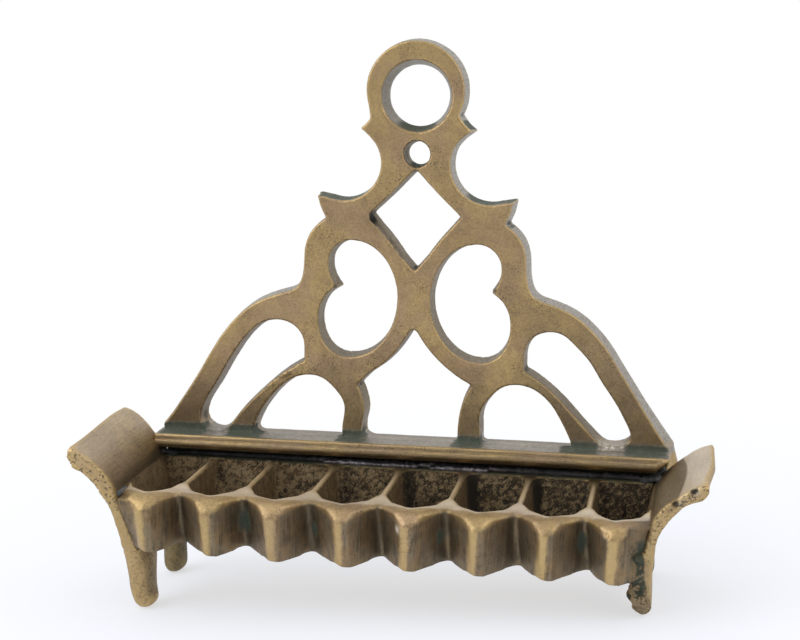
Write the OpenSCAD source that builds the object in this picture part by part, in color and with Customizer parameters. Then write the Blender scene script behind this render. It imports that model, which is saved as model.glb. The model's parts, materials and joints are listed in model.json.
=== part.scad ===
// Hanukkah lamp, cast brass bench type: an openwork backplate, a trough of eight oil wells with a zigzag
// front, and two flared cheeks that end in four legs. Millimetres, +Z up, +X to the right, +Y to the back.
// The castings are drawn in the lamp's own upright frame, whose zero is the middle of the backplate's front
// face at the height of the corners of its openings. The right legs are shorter, so the finished lamp leans.

/* [Backplate] */
// Thickness of the backplate from front to back
plate_t = 8.5; // [5:0.5:11]
// Half the width of the backplate at its foot
plate_half_w = 88.5; // [85:0.5:92]
// How much wider the outline is at the back, because the pattern was drawn out to the front
outline_draft = 0.8; // [0.2:0.1:1.5]
// How much narrower the openings are at the back
opening_draft = 0.7; // [0.1:0.1:1]
// Height of the ledge behind the rail, measured from the corners of the openings
ledge_z = -1.6; // [-2.4:0.1:-1]
// How far the moulded rail stands out in front of the backplate
rail_out = 6.6; // [4:0.2:9]
// Height of the moulded rail
rail_h = 5.4; // [4:0.2:6.4]
// Reach of the rail to the left of the backplate's middle
rail_left = 90; // [87:0.5:90]
// Reach of the rail to the right of the backplate's middle
rail_right = 88.6; // [86:0.2:89]

/* [Ring and hanging hole] */
// Radius of the ring's outline at the front
ring_r = 16.9; // [15:0.1:18]
// How far the outline of the ring sits left of the backplate's middle
ring_left = 0.4; // [0:0.1:1]
// Height of the centre of the ring's outline
ring_z = 119.4; // [117:0.2:122]
// Radius of the ring's hole at the front
ring_hole_r = 12.3; // [11:0.1:13]
// Height of the centre of the ring's hole
ring_hole_z = 117.7; // [117:0.1:119]
// Radius of the straight land at the back of the ring's hole
ring_land_r = 10.5; // [9:0.1:10.9]
// Length of that land
ring_land_l = 2; // [1.5:0.1:3]
// Diameter of the drilled hole in the neck
neck_hole_d = 9.2; // [6:0.2:9.6]
// Distance of the drilled hole to the right of the middle
neck_hole_x = 0.4; // [0:0.1:0.6]
// Height of the drilled hole
neck_hole_z = 98; // [97.8:0.1:98.2]

/* [Trough] */
// Number of oil wells
wells = 8; // [4:1:8]
// Distance from one well to the next
well_pitch = 21.8; // [20:0.2:22]
// How far the trough sits left of the middle of the backplate
trough_shift = 1.9; // [0:0.1:3]
// How far the row of wells sits left of the trough's own middle
wells_shift = 0.9; // [0:0.1:1.2]
// Height of the trough from its underside to its rim
trough_h = 19; // [15:0.5:24]
// Thickness of the partitions between the wells
partition_t = 2.2; // [1.6:0.1:3]
// Thickness of the trough's floor
floor_t = 3; // [2:0.25:4]
// Thickness of the trough's rear wall
rear_wall_t = 3; // [2:0.25:4]
// Distance from the backplate's face to the front tips of the zigzag
tip_out = 55.2; // [52:0.2:60]
// Width of the blunt ridge on each tip
ridge_w = 3.2; // [2:0.2:5]
// Depth of the zigzag's valleys behind its tips
zigzag_depth = 12.8; // [9:0.2:14]
// How far the zigzag front leans in from the rim to the underside
front_lean = 3; // [1:0.25:4]
// How far the ridges run to the right from the rim to the underside
ridge_slant = 1.1; // [0:0.1:2]
// Length of each well from its rear wall to its front
well_l = 43.8; // [41:0.2:44.5]
// Length of each well's pointed front
well_point = 13; // [10:0.5:15]

/* [Cheeks] */
// How far the left cheek's tip flares out past the rim of the trough
flare_left = 13.9; // [10:0.1:18]
// How far the right cheek's tip flares out past the rim of the trough
flare_right = 18.6; // [10:0.1:20]
// Height of the cheek's tips above the rim
flare_h = 15; // [12:0.2:18]
// Thickness of the left cheek's flare
flare_t_left = 5.6; // [3.6:0.1:6]
// Thickness of the right cheek's flare
flare_t_right = 4.4; // [3.6:0.1:6]
// Distance from the backplate's face to the cheek's front tips
cheek_front = 53; // [50:0.5:56]
// How far the cheeks lean in from the rim to the trough's underside
cheek_lean = 4.2; // [2:0.2:5]
// Thickness of the legs from side to side
leg_t = 4.3; // [3.4:0.1:5]
// Width of the legs from front to back at their feet
foot_w = 9.5; // [8:0.25:11]
// Length of the left legs below the corners of the backplate's openings
leg_left = 54.4; // [50:0.2:58]
// Length of the right legs below the corners of the backplate's openings
leg_right = 44.6; // [44:0.2:50]
// How much further in than the trough's underside the left feet stand
step_in_left = 2.2; // [0:0.2:4]
// How much further in than the trough's underside the right feet stand
step_in_right = 0.2; // [0:0.2:4]

/* [Joints] */
// Clearance round the tenons in their slots
slot_gap = 0.15; // [0.1:0.05:0.3]
// Width of the tenons
tenon_w = 11; // [8:0.5:14]
// Thickness of the tenons
tenon_t = 4; // [3:0.25:4.5]
// How far a hammered tenon head spreads past the tenon on each side
head_spread = 1.2; // [0.6:0.1:1.6]
// Thickness of a hammered tenon head
head_t = 1.2; // [0.8:0.1:1.6]
// Thickness of the shelf behind the trough that carries the backplate
shelf_t = 3.2; // [2.5:0.1:4]
// Leg of the solder fillets
solder_leg = 2.2; // [1.2:0.1:2.8]

/* [Hidden] */
brass = [0.66, 0.53, 0.32];
solder_grey = [0.45, 0.43, 0.46];
$fn = 64;
curve_steps = 7;
past = 1;                              // how far a cutter runs past the face it opens
rim_z = -11;                           // height of the trough's rim
under_z = rim_z - trough_h;            // height of the trough's underside
floor_z = under_z + floor_t;
rail_bottom_z = ledge_z - rail_h;
valley_out = tip_out - zigzag_depth;
valley_w = 1;                          // width of the blunt bottom of each valley
trough_half = well_pitch * wells / 2 - 0.5;
trough_half_low = trough_half - cheek_lean;
end_slope = cheek_lean / trough_h;     // how far a cheek leans for each millimetre of height
tip_z = rim_z + flare_h;
nose_out = 0.7;                        // how far a cheek's rounded nose stands out past its tip
nose_drop = 2.2;                       // how far the nose lies below the tip
foot_spare = 6;                        // length cut from every leg when its sole is made flat
foot_rear_y = 4.4;
plate_tenon_x = plate_half_w / 2;
left_foot_x = trough_half + trough_shift - cheek_lean - step_in_left + leg_t / 2;
right_foot_x = trough_half - trough_shift - cheek_lean - step_in_right + leg_t / 2;
lean = atan((leg_left - leg_right) / (left_foot_x + right_foot_x));
pivot_z = (leg_left + tip_z) * cos(lean) - left_foot_x * sin(lean);
depth_mid = (tip_out - plate_t) / 2;
width_mid = ((flare_right - flare_left) / 2 - trough_shift) * cos(lean) - nose_drop * sin(lean);

// Points of one cubic curve, without its last point, which the next curve repeats
function curve(a, b, c, d, n = curve_steps) = [
    for (i = [0:n - 1])
        let (t = i / n, s = 1 - t)
            s * s * s * a + 3 * s * s * t * b + 3 * s * t * t * c + t * t * t * d
];

// Points of an arc from angle a0 up to, but not at, angle a1
function arc(c, r, a0, a1, n = curve_steps) = [
    for (i = [0:n - 1])
        let (a = a0 + (a1 - a0) * i / n) c + r * [cos(a), sin(a)]
];

function mirrored(p) = [for (i = [len(p) - 1:-1:0]) [-p[i][0], p[i][1]]];
function side_normal(a, b) = [b[1] - a[1], a[0] - b[0]] / norm(b - a);

// Moves every point of a counter-clockwise outline outwards by d, and keeps its corners from running out far
function grown(p, d) = [
    for (i = [0:len(p) - 1])
        let (
            before = side_normal(p[(i + len(p) - 1) % len(p)], p[i]),
            after = side_normal(p[i], p[(i + 1) % len(p)]),
            open = max(1 + before * after, 0.75)
        )
        p[i] + d * (before + after) / open
];

// Closed solid between two counter-clockwise outlines of equally many points, one above the other
module loft(low, high, low_z, high_z) {
    n = len(low);
    points = concat([for (p = low) [p[0], p[1], low_z]], [for (p = high) [p[0], p[1], high_z]]);
    walls = [
        for (i = [0:n - 1])
            let (j = (i + 1) % n)
                [i, i + n, j + n, j]
    ];
    polyhedron(points, concat([[for (i = [0:n - 1]) i]], [[for (i = [n - 1:-1:0]) i + n]], walls));
}

// Stands a plan drawn in the XZ plane up, so that its heights run from the front towards the back
module upright() {
    mirror([0, 1, 0])
        rotate([90, 0, 0])
            children();
}

// Outlines of the backplate at its front face
neck_c = [25.6, 94.9];
neck_r = 13.7;
neck_tip = [33.9, 82.7];
ring_cusp = [19.1, 106.3];
shoulder_notch = [31, 74.8];

// From the foot up to the ring, which each side joins at its own angle
right_outline = concat(
    [[plate_half_w, rim_z], [plate_half_w, 0.3]],
    curve([84.5, 6.2], [79, 14.6], [73.5, 23.5], [68.5, 31.6], 4),
    curve([68.5, 31.6], [61, 43], [54.5, 46.2], [44.5, 48.8]),
    curve([44.5, 48.8], [40, 50.2], [39, 53.5], [38.7, 60]),
    curve([38.7, 60], [38.8, 67], [36.8, 71.6], shoulder_notch),
    [shoulder_notch, [32.9, 79], neck_tip],
    arc(neck_c, neck_r, 287, 140, 12),
    [[16.2, 104.2], ring_cusp, [17.2, 107.8], [15.8, 109.6]]
);
ring_outline = arc([-ring_left, ring_z], ring_r, -28, 208, 26);
plate_outline = concat(right_outline, ring_outline, mirrored(right_outline));

diamond_side = curve([4.4, 62.6], [8, 68], [11.4, 71.8], [15.4, 75.7], 4);
diamond_right = concat(diamond_side, [[15.9, 76.8], [15.2, 77.8], [7.9, 84.7], [0.8, 92.2]]);
diamond = concat([[0, 57.5]], diamond_right, [[0, 92.6]], mirrored(diamond_right));

right_heart = concat(
    curve([27.1, 51.1], [29, 53.5], [30.3, 56], [30.3, 59.4], 5),
    curve([30.3, 59.4], [30.3, 64], [26.5, 67.8], [21.8, 67.8]),
    curve([21.8, 67.8], [12, 67.8], [5.6, 57.5], [5.6, 48]),
    curve([5.6, 48], [5.6, 36.5], [13.5, 26.6], [23.3, 26.6]),
    curve([23.3, 26.6], [29.5, 26.6], [33.8, 32.3], [33.8, 39.6]),
    curve([33.8, 39.6], [33.8, 45.2], [31, 49.3], [27.1, 51.1])
);

right_drop = concat(
    curve([38.5, 24.5], [45, 21.5], [53, 14.5], [60, 6.4], 6),
    curve([60, 6.4], [63.5, 2.8], [65.5, ledge_z + 1], [69, ledge_z + 1], 4),
    curve([69, ledge_z + 1], [73.2, ledge_z + 1], [76.8, 1.5], [75.9, 5], 6),
    curve([75.9, 5], [75.2, 8], [73, 11.2], [70, 15.9], 3),
    curve([70, 15.9], [61.5, 29.5], [57.5, 38.8], [48.3, 38.8], 8),
    curve([48.3, 38.8], [43, 38.8], [38.7, 35.2], [38.5, 30], 6),
    [[38.5, 30]]
);

// The arches and the middle opening stand on the ledge once they are narrowed
sill_z = ledge_z - opening_draft;
right_arch = concat(
    [[23.8, sill_z + 0.8], [25.2, sill_z], [54.8, sill_z], [56.3, sill_z + 0.9]],
    curve([56.3, 0.4], [55, 4.6], [53, 8], [50.4, 11.3], 4),
    curve([50.4, 11.3], [46.5, 16.2], [42, 19.7], [36.2, 19.7], 7),
    curve([36.2, 19.7], [29, 19.7], [23.7, 13.5], [23.5, 6.5], 8),
    [[23.5, 6.5]]
);

centre_right = concat(
    [[14.9, sill_z], [16.1, sill_z + 0.8]],
    curve([16.1, 0.4], [16, 7], [17, 13], [20.6, 18.7], 6),
    curve([20.6, 18.7], [12.5, 22.6], [5.2, 29.5], [1.2, 36.8], 8),
    [[1.2, 36.8]]
);
centre_opening = concat(centre_right, [[0, 37.4]], mirrored(centre_right));

// One opening's outline where it is narrowest, at the back
module opening(outline) {
    polygon(grown(outline, -opening_draft));
}

// The openwork, with the walls drawn straight at the size that they have at the back
module openwork() {
    upright()
        linear_extrude(plate_t)
            difference() {
                polygon(grown(plate_outline, outline_draft));
                opening(diamond);
                opening(right_heart);
                opening(mirrored(right_heart));
                opening(right_drop);
                opening(mirrored(right_drop));
                opening(right_arch);
                opening(mirrored(right_arch));
                opening(centre_opening);
                // The foot ends level with the trough's rim
                translate([-2 * plate_half_w, rim_z - 2 * outline_draft])
                    square([4 * plate_half_w, 2 * outline_draft]);
            }
}

// The ring's hole opens towards the front and keeps a straight land at the back
module ring_hole() {
    cone_l = plate_t - ring_land_l;
    slope = (ring_hole_r - ring_land_r) / cone_l;
    translate([0, 0, ring_hole_z])
        rotate([-90, 0, 0]) {
            translate([0, 0, -past])
                cylinder(h = cone_l + past, r1 = ring_hole_r + slope * past, r2 = ring_land_r);
            cylinder(h = plate_t + past, r = ring_land_r);
        }
}

module neck_hole() {
    translate([neck_hole_x, -past, neck_hole_z])
        rotate([-90, 0, 0])
            cylinder(h = plate_t + 2 * past, d = neck_hole_d);
}

// The rail's section: a flat ledge, a nose of two facets and an undercut back to the plate
rail_section = [
    [plate_t / 2, ledge_z],
    [-rail_out + 0.5, ledge_z],
    [-rail_out, ledge_z - 0.6],
    [-rail_out - 0.7, ledge_z - rail_h * 0.45],
    [-rail_out, rail_bottom_z + 0.5],
    [-rail_out + 0.9, rail_bottom_z],
    [plate_t / 2, rail_bottom_z]
];

// The rail from the front, with its lower corners cut away beside the cheeks
rail_front = [
    [-rail_left + 1.4, rail_bottom_z - past],
    [rail_right - 3.2, rail_bottom_z - past],
    [rail_right, ledge_z - rail_h * 0.4],
    [rail_right, ledge_z + past],
    [-rail_left, ledge_z + past],
    [-rail_left, ledge_z - rail_h * 0.5]
];

module rail() {
    intersection() {
        translate([-rail_left, 0, 0])
            rotate([90, 0, 90])
                linear_extrude(rail_left + rail_right)
                    polygon(rail_section);
        translate([0, -2 * rail_out, 0])
            upright()
                linear_extrude(2 * rail_out + plate_t)
                    polygon(rail_front);
    }
}

// Two tenons under the foot go through the shelf and end in hammered heads
module plate_tenons() {
    tail = shelf_t + head_t;
    for (side = [-1, 1])
        translate([side * plate_tenon_x, plate_t / 2, rim_z]) {
            translate([-tenon_w / 2, -tenon_t / 2, -tail])
                cube([tenon_w, tenon_t, tail + past]);
            translate([-tenon_w / 2 - head_spread, -tenon_t / 2 - head_spread / 2, -tail])
                cube([tenon_w + 2 * head_spread, tenon_t + head_spread, head_t]);
        }
}

module backplate() {
    color(brass)
        lamp() {
            difference() {
                openwork();
                ring_hole();
                neck_hole();
            }
            rail();
            plate_tenons();
        }
}

function well_x(i) = (i - (wells - 1) / 2) * well_pitch - wells_shift;

// Plan of what one valley of the zigzag takes away, with its point moved back and across
valley_slope = (well_pitch - ridge_w - valley_w) / 2 / zigzag_depth;
function valley_plan(back, across) =
    let (mouth = valley_w / 2 + valley_slope * (zigzag_depth + past))
    [
        [mouth + across, -tip_out - past + back],
        [valley_w / 2 + across, -valley_out + back],
        [-valley_w / 2 + across, -valley_out + back],
        [-mouth + across, -tip_out - past + back]
    ];

// Cuts a valley from the rim down to the underside, leaning back and across as it goes down
module valley() {
    beyond = past / trough_h;
    loft(
        valley_plan(front_lean * (1 + beyond), ridge_slant * (1 + beyond)),
        valley_plan(-front_lean * beyond, -ridge_slant * beyond),
        under_z - past,
        rim_z + past
    );
}

// Plan of the whole trough, before its zigzag is cut
function trough_plan(half, back) = [[half, 0], [-half, 0], [-half, -tip_out + back], [half, -tip_out + back]];

module trough_body() {
    difference() {
        loft(trough_plan(trough_half_low, front_lean), trough_plan(trough_half, 0), under_z, rim_z);
        for (i = [0:wells])
            translate([well_x(i - 0.5), 0, 0])
                valley();
    }
}

// Plan of one well: straight sides and a pointed front
function well_plan(half, rear, length, point) = concat(
    [[half, -rear], [-half, -rear]],
    curve([-half, -rear - length + point], [-half + 1.6, -rear - length + point * 0.55],
        [-half * 0.42, -rear - length], [0, -rear - length], 8),
    curve([0, -rear - length], [half * 0.42, -rear - length],
        [half - 1.6, -rear - length + point * 0.55], [half, -rear - length + point], 8),
    [[half, -rear - length + point]]
);

module well() {
    translate([0, 0, floor_z])
        linear_extrude(trough_h)
            polygon(well_plan((well_pitch - partition_t) / 2, rear_wall_t, well_l, well_point));
}

// The end wells run out to the cheeks, which close them
end_well_front = -rear_wall_t - well_l + well_point + 1;
module end_well(side) {
    reach = well_pitch / 2 + 2 * past;
    translate([side > 0 ? 0 : -reach, end_well_front, floor_z])
        cube([reach, -rear_wall_t - end_well_front, trough_h]);
}

module trough_wells() {
    for (i = [0:wells - 1])
        translate([well_x(i), 0, 0]) {
            well();
            if (i == 0) end_well(-1);
            if (i == wells - 1) end_well(1);
        }
}

// A narrow shelf behind the rim, with slots for the backplate's tenons
module shelf() {
    difference() {
        translate([-trough_half + 1, 0, rim_z - shelf_t])
            cube([2 * trough_half - 2, plate_t, shelf_t]);
        for (side = [-1, 1])
            translate([
                trough_shift + side * plate_tenon_x - tenon_w / 2 - slot_gap,
                plate_t / 2 - tenon_t / 2 - slot_gap,
                rim_z - shelf_t - past
            ])
                cube([tenon_w + 2 * slot_gap, tenon_t + 2 * slot_gap, shelf_t + 2 * past]);
    }
}

module oil_trough() {
    color(brass)
        lamp()
            translate([-trough_shift, 0, 0]) {
                difference() {
                    trough_body();
                    trough_wells();
                }
                shelf();
            }
}

// Section of a cheek, as distance outwards from the rim's end and height: first the inner side, going up
function cheek_inner(flare, leg, step_in) = concat(
    [
        [-cheek_lean - step_in, -leg - foot_spare],
        [-cheek_lean - step_in * 0.8, under_z - 9],
        [-cheek_lean, under_z]
    ],
    curve([0, rim_z], [0.6, rim_z + flare_h * 0.3], [flare * 0.25, rim_z + flare_h * 0.62], [flare, tip_z], 8)
);

// Then the nose and the outer side, going down
function cheek_outer(flare, leg, t, step_in) = concat(
    [[flare, tip_z], [flare + nose_out, tip_z - nose_drop], [flare + 0.2, tip_z - 3.4]],
    curve([flare - 1.4, tip_z - 0.9 - t], [flare * 0.5 + 1, tip_z - 2.1 - t], [t - 1.9, rim_z + 7.8 - t],
        [t * 0.6 - 1.6, rim_z - 7.5], 8),
    [
        [t * 0.6 - 1.6, rim_z - 7.5],
        [leg_t - cheek_lean, under_z],
        [leg_t - cheek_lean - step_in * 0.8, under_z - 12],
        [leg_t - cheek_lean - step_in, -leg - foot_spare]
    ]
);

// Side view of a cheek, with y to the back: the flared top, and an arch between the front and rear legs
function cheek_side(leg) = [
    [-cheek_front, tip_z - 1.5],
    [-cheek_front + 1.8, rim_z],
    [-cheek_front + 6.6, rim_z - 13],
    [-cheek_front + 11.5, rim_z - 25],
    [-cheek_front + 15, -leg - 1],
    [-cheek_front + 17, -leg - foot_spare],
    [-cheek_front + 15 + foot_w - 1.5, -leg - foot_spare],
    [-cheek_front + 15 + foot_w, -leg],
    [-cheek_front + 26, under_z - 9],
    [-cheek_front + 29, under_z - 5],
    [-cheek_front + 34, under_z - 3],
    [-14, under_z - 3],
    [-8.5, under_z - 5],
    [-6, under_z - 9],
    [foot_rear_y - foot_w, -leg],
    [foot_rear_y - foot_w + 1.5, -leg - foot_spare],
    [foot_rear_y - 1.5, -leg - foot_spare],
    [foot_rear_y, -leg - 1],
    [foot_rear_y, rim_z - 7],
    [-0.6, rim_z - 1],
    [-2, tip_z - 6],
    [-3, tip_z - 1.5],
    [-5.5, tip_z + past],
    [-cheek_front + 2, tip_z + past]
];

// One cheek, standing on the right; the left one is a mirror image with its own flare and legs
module cheek(flare, leg, t, step_in) {
    intersection() {
        translate([trough_half, 2 * plate_t, 0])
            rotate([90, 0, 0])
                linear_extrude(2 * plate_t + cheek_front + past)
                    polygon(concat(cheek_inner(flare, leg, step_in), cheek_outer(flare, leg, t, step_in)));
        rotate([90, 0, 90])
            linear_extrude(trough_half + 2 * flare)
                polygon(cheek_side(leg));
    }
}

module left_cheek() {
    color(brass)
        difference() {
            lamp()
                translate([-trough_shift, 0, 0])
                    mirror([1, 0, 0])
                        cheek(flare_left, leg_left, flare_t_left, step_in_left);
            below_ground();
        }
}

module right_cheek() {
    color(brass)
        difference() {
            lamp()
                translate([-trough_shift, 0, 0])
                    cheek(flare_right, leg_right, flare_t_right, step_in_right);
            below_ground();
        }
}

// The soles are worn flat on the surface that the lamp stands on
module below_ground() {
    translate([-2 * plate_half_w, -2 * tip_out, -leg_left])
        cube([4 * plate_half_w, 4 * tip_out, leg_left]);
}

// A solder fillet of length l along X, in the corner of a floor and a wall behind it that leans back
module fillet(l, wall_slope = 0) {
    rotate([90, 0, 90])
        linear_extrude(l)
            polygon([
                [0, 0],
                [wall_slope * solder_leg, solder_leg],
                [-solder_leg * 0.35, solder_leg * 0.6],
                [-solder_leg * 0.6, solder_leg * 0.35],
                [-solder_leg, 0]
            ]);
}

module rear_solder() {
    color(solder_grey)
        lamp()
            translate([-trough_shift - trough_half + 6, 0, rim_z])
                fillet(2 * trough_half - 12);
}

// Solder where the cheek closes an end well: along the floor, and up the front corner to just under the rim
module end_solder() {
    foot = [trough_half - (rim_z - floor_z) * end_slope, 0, floor_z];
    translate(foot)
        translate([0, -rear_wall_t, 0])
            rotate([0, 0, -90])
                fillet(-rear_wall_t - end_well_front, end_slope);
    translate(foot)
        translate([0, end_well_front, 0])
            rotate([0, atan(end_slope), 0])
                linear_extrude(rim_z - floor_z - 0.4)
                    polygon([[0, 0], [0, solder_leg], [-solder_leg * 0.4, solder_leg * 0.4], [-solder_leg, 0]]);
}

module left_solder() {
    color(solder_grey)
        lamp()
            translate([-trough_shift, 0, 0])
                mirror([1, 0, 0])
                    end_solder();
}

module right_solder() {
    color(solder_grey)
        lamp()
            translate([-trough_shift, 0, 0])
                end_solder();
}

// Turns the upright lamp until both pairs of soles touch the ground, and centres it over the origin
module lamp() {
    translate([-width_mid, depth_mid, pivot_z])
        rotate([0, lean, 0])
            translate([0, 0, -tip_z])
                children();
}

backplate();
oil_trough();
left_cheek();
right_cheek();
rear_solder();
left_solder();
right_solder();
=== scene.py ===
# %% [markdown]
# # An old cast-brass bench lamp for Hanukkah
# The lamp is four sand castings: an openwork backplate that hangs or stands, a trough of eight oil wells with a
# zigzag front, and two flared cheeks that end in legs. Thin runs of soft solder close the joints.
# The castings were filed by hand and then worn, handled and oiled for many years. That is what a render has to
# show, so every casting is recast here from its exact shape into one even skin, and the wear is worked into it.
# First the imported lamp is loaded. It fixes where everything is, and its box may not be left.

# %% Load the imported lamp
import json
import math

import bpy
import numpy as np
from mathutils import Matrix, Vector, noise
from mathutils.geometry import tessellate_polygon


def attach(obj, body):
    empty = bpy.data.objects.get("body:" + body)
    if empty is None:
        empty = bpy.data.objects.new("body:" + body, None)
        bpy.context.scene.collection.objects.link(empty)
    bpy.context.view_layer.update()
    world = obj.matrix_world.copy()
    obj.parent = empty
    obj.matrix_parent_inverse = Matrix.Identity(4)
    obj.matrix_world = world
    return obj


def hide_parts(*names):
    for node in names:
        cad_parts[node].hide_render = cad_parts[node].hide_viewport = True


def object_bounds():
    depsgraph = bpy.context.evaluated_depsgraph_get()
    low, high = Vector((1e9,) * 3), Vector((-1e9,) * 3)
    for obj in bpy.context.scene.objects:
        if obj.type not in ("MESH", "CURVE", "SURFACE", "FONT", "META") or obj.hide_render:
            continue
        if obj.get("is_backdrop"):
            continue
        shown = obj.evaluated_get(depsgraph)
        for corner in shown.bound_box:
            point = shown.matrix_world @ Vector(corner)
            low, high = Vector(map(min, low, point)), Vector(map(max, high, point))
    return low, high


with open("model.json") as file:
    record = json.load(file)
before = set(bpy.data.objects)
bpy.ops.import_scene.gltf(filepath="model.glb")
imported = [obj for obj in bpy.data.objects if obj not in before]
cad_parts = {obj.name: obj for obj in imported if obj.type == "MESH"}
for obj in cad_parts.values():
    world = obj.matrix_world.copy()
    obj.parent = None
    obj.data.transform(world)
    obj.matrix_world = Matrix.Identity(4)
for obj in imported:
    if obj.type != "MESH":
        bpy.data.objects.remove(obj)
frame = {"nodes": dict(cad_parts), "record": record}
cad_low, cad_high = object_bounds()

MM = 0.001
print("box of the lamp in mm:", [round((b - a) / MM, 1) for a, b in zip(cad_low, cad_high)])

# %% [markdown]
# ## The lamp's own upright frame
# Two legs are shorter than the other two, so the lamp leans a little to the right. A founder would measure it
# upright, and so does this script: shapes are worked out in upright millimetres, whose zero is the middle of the
# plate's face at the height of its openings' corners. The two holes of the plate say where that frame lies.

# %% From upright millimetres to the scene and back
RING_HOLE = Vector((0, 7.5, 117.7))
NECK_HOLE = Vector((0.4, 4.25, 98))


def mount_place(name):
    return Vector(next(m for m in frame["record"]["mounts"] if m["name"] == name)["pos_m"])


ring_place = mount_place("hanging_ring")
up_seen = ring_place - mount_place("neck_hole")
up_drawn = RING_HOLE - NECK_HOLE
lean = math.atan2(up_seen.x, up_seen.z) - math.atan2(up_drawn.x, up_drawn.z)
turn = np.array(Matrix.Rotation(lean, 3, "Y"))
shift = np.array(ring_place) - turn @ np.array(RING_HOLE) * MM


def to_scene(points):
    """Upright millimetres to the scene's metres."""
    return np.asarray(points) @ turn.T * MM + shift


def to_upright(points):
    """The scene's metres to upright millimetres."""
    return (np.asarray(points) - shift) @ turn / MM


print("the lamp leans by", round(math.degrees(lean), 2), "degrees")

# %% [markdown]
# ## Camera
# The photograph was taken from slightly above and slightly to the right, from half a metre away. Its frame shows
# the lamp left of and below the lens's axis, which a shift of the camera's sensor gives without turning it.

# %% The camera
CAMERA_PLACE = (91.45, -501.0, 135.35)
CAMERA_TURN = math.radians(7.813)
CAMERA_TILT = math.radians(7.423)
CAMERA_ROLL = math.radians(1.142)

camera_data = bpy.data.cameras.new("camera")
camera_data.lens = 67.5
camera_data.shift_x = -0.1
camera_data.shift_y = -0.1
camera_data.clip_start = 0.01
camera = bpy.data.objects.new("camera", camera_data)
bpy.context.collection.objects.link(camera)
look = (
    Matrix.Rotation(lean, 4, "Y")
    @ Matrix.Rotation(CAMERA_TURN, 4, "Z")
    @ Matrix.Rotation(math.pi / 2 - CAMERA_TILT, 4, "X")
    @ Matrix.Rotation(CAMERA_ROLL, 4, "Z")
)
camera.matrix_world = Matrix.Translation(to_scene(CAMERA_PLACE)) @ look
bpy.context.scene.camera = camera
print("camera at", [round(v, 3) for v in camera.matrix_world.translation])

# %% [markdown]
# ## Nodes written as sums
# Materials here, and the trough's shape too, are sums of many small terms. Wiring them by hand hides the idea,
# so a socket is wrapped in a class that knows plus, minus, times and the other signs. Each sign adds a Math node.
# Any other node comes from one method, which takes its type, its settings, and what goes into its sockets.


# %% A socket that can be added and multiplied
class Wire:
    """An output socket that works like a number in a sum."""

    def __init__(self, net, socket):
        self.net = net
        self.socket = socket

    def math(self, operation, *values):
        return self.net.add("ShaderNodeMath", {"operation": operation}, dict(enumerate(values)))

    def __add__(self, other):
        return self.math("ADD", self, other)

    def __radd__(self, other):
        return self.math("ADD", other, self)

    def __sub__(self, other):
        return self.math("SUBTRACT", self, other)

    def __rsub__(self, other):
        return self.math("SUBTRACT", other, self)

    def __mul__(self, other):
        return self.math("MULTIPLY", self, other)

    def __rmul__(self, other):
        return self.math("MULTIPLY", other, self)

    def __truediv__(self, other):
        return self.math("DIVIDE", self, other)

    def __rtruediv__(self, other):
        return self.math("DIVIDE", other, self)

    def __pow__(self, other):
        return self.math("POWER", self, other)

    def most(self, other):
        return self.math("MAXIMUM", self, other)

    def least(self, other):
        return self.math("MINIMUM", self, other)

    def size(self):
        return self.math("ABSOLUTE", self)

    def side(self):
        return self.math("SIGN", self)

    def held(self):
        """The same value, kept between 0 and 1."""
        return self.most(0).least(1)

    def step(self, low, high):
        """0 below low, 1 above high, and a soft step between."""
        settings = {"interpolation_type": "SMOOTHSTEP"}
        links = {"Value": self, "From Min": low, "From Max": high}
        return self.net.add("ShaderNodeMapRange", settings, links)


class Net:
    """A node tree that grows by one call for each node."""

    def __init__(self, tree):
        self.tree = tree

    def add(self, kind, settings=None, links=None, out=0):
        """Adds a node. Settings come first, because they decide which sockets it has."""
        node = self.tree.nodes.new(kind)
        for name, value in (settings or {}).items():
            if name == "stops":
                self.set_stops(node, value)
            else:
                setattr(node, name, value)
        for name, value in (links or {}).items():
            self.join(self.socket(node.inputs, name), value)
        return self.wire(node, out)

    def wire(self, node, out):
        return Wire(self, self.socket(node.outputs, out))

    def socket(self, sockets, name):
        if isinstance(name, int):
            return [s for s in sockets if s.enabled][name]
        return next(s for s in sockets if s.name == name and s.enabled)

    def join(self, socket, value):
        for item in value if isinstance(value, list) else [value]:
            if isinstance(item, Wire):
                self.tree.links.new(item.socket, socket)
            else:
                socket.default_value = item

    def set_stops(self, node, stops):
        ramp = node.color_ramp
        for place, _ in stops[2:]:
            ramp.elements.new(place)
        for element, (place, colour) in zip(ramp.elements, stops):
            element.position = place
            element.color = (*colour, 1)

    def mix(self, share, first, second):
        """A blend of two colours. A share of 0 is the first one."""
        links = {"Factor": share, "A": first, "B": second}
        return self.add("ShaderNodeMix", {"data_type": "RGBA"}, links, out="Result")

    def vector(self, x, y, z):
        return self.add("ShaderNodeCombineXYZ", None, {"X": x, "Y": y, "Z": z})

    def parts(self, vector):
        """The three numbers of a vector."""
        first = self.add("ShaderNodeSeparateXYZ", None, {"Vector": vector})
        node = first.socket.node
        return first, self.wire(node, "Y"), self.wire(node, "Z")


def between(low, high, share):
    """A value on the way from low to high, for numbers and wires alike."""
    return low + (high - low) * share


# %% [markdown]
# ## Castings from simple solids
# A cast and worn piece has no sharp edge and no flat seam. Bevels would need every edge to be found. Here the
# simple closed solids of a piece are laid into each other, and a voxel remesh melts them into one skin of even
# small quads. That skin is then moved point by point with numpy: smoothed, dented, roughened.

# %% Solids as points and faces
PAST = 1.0


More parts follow.
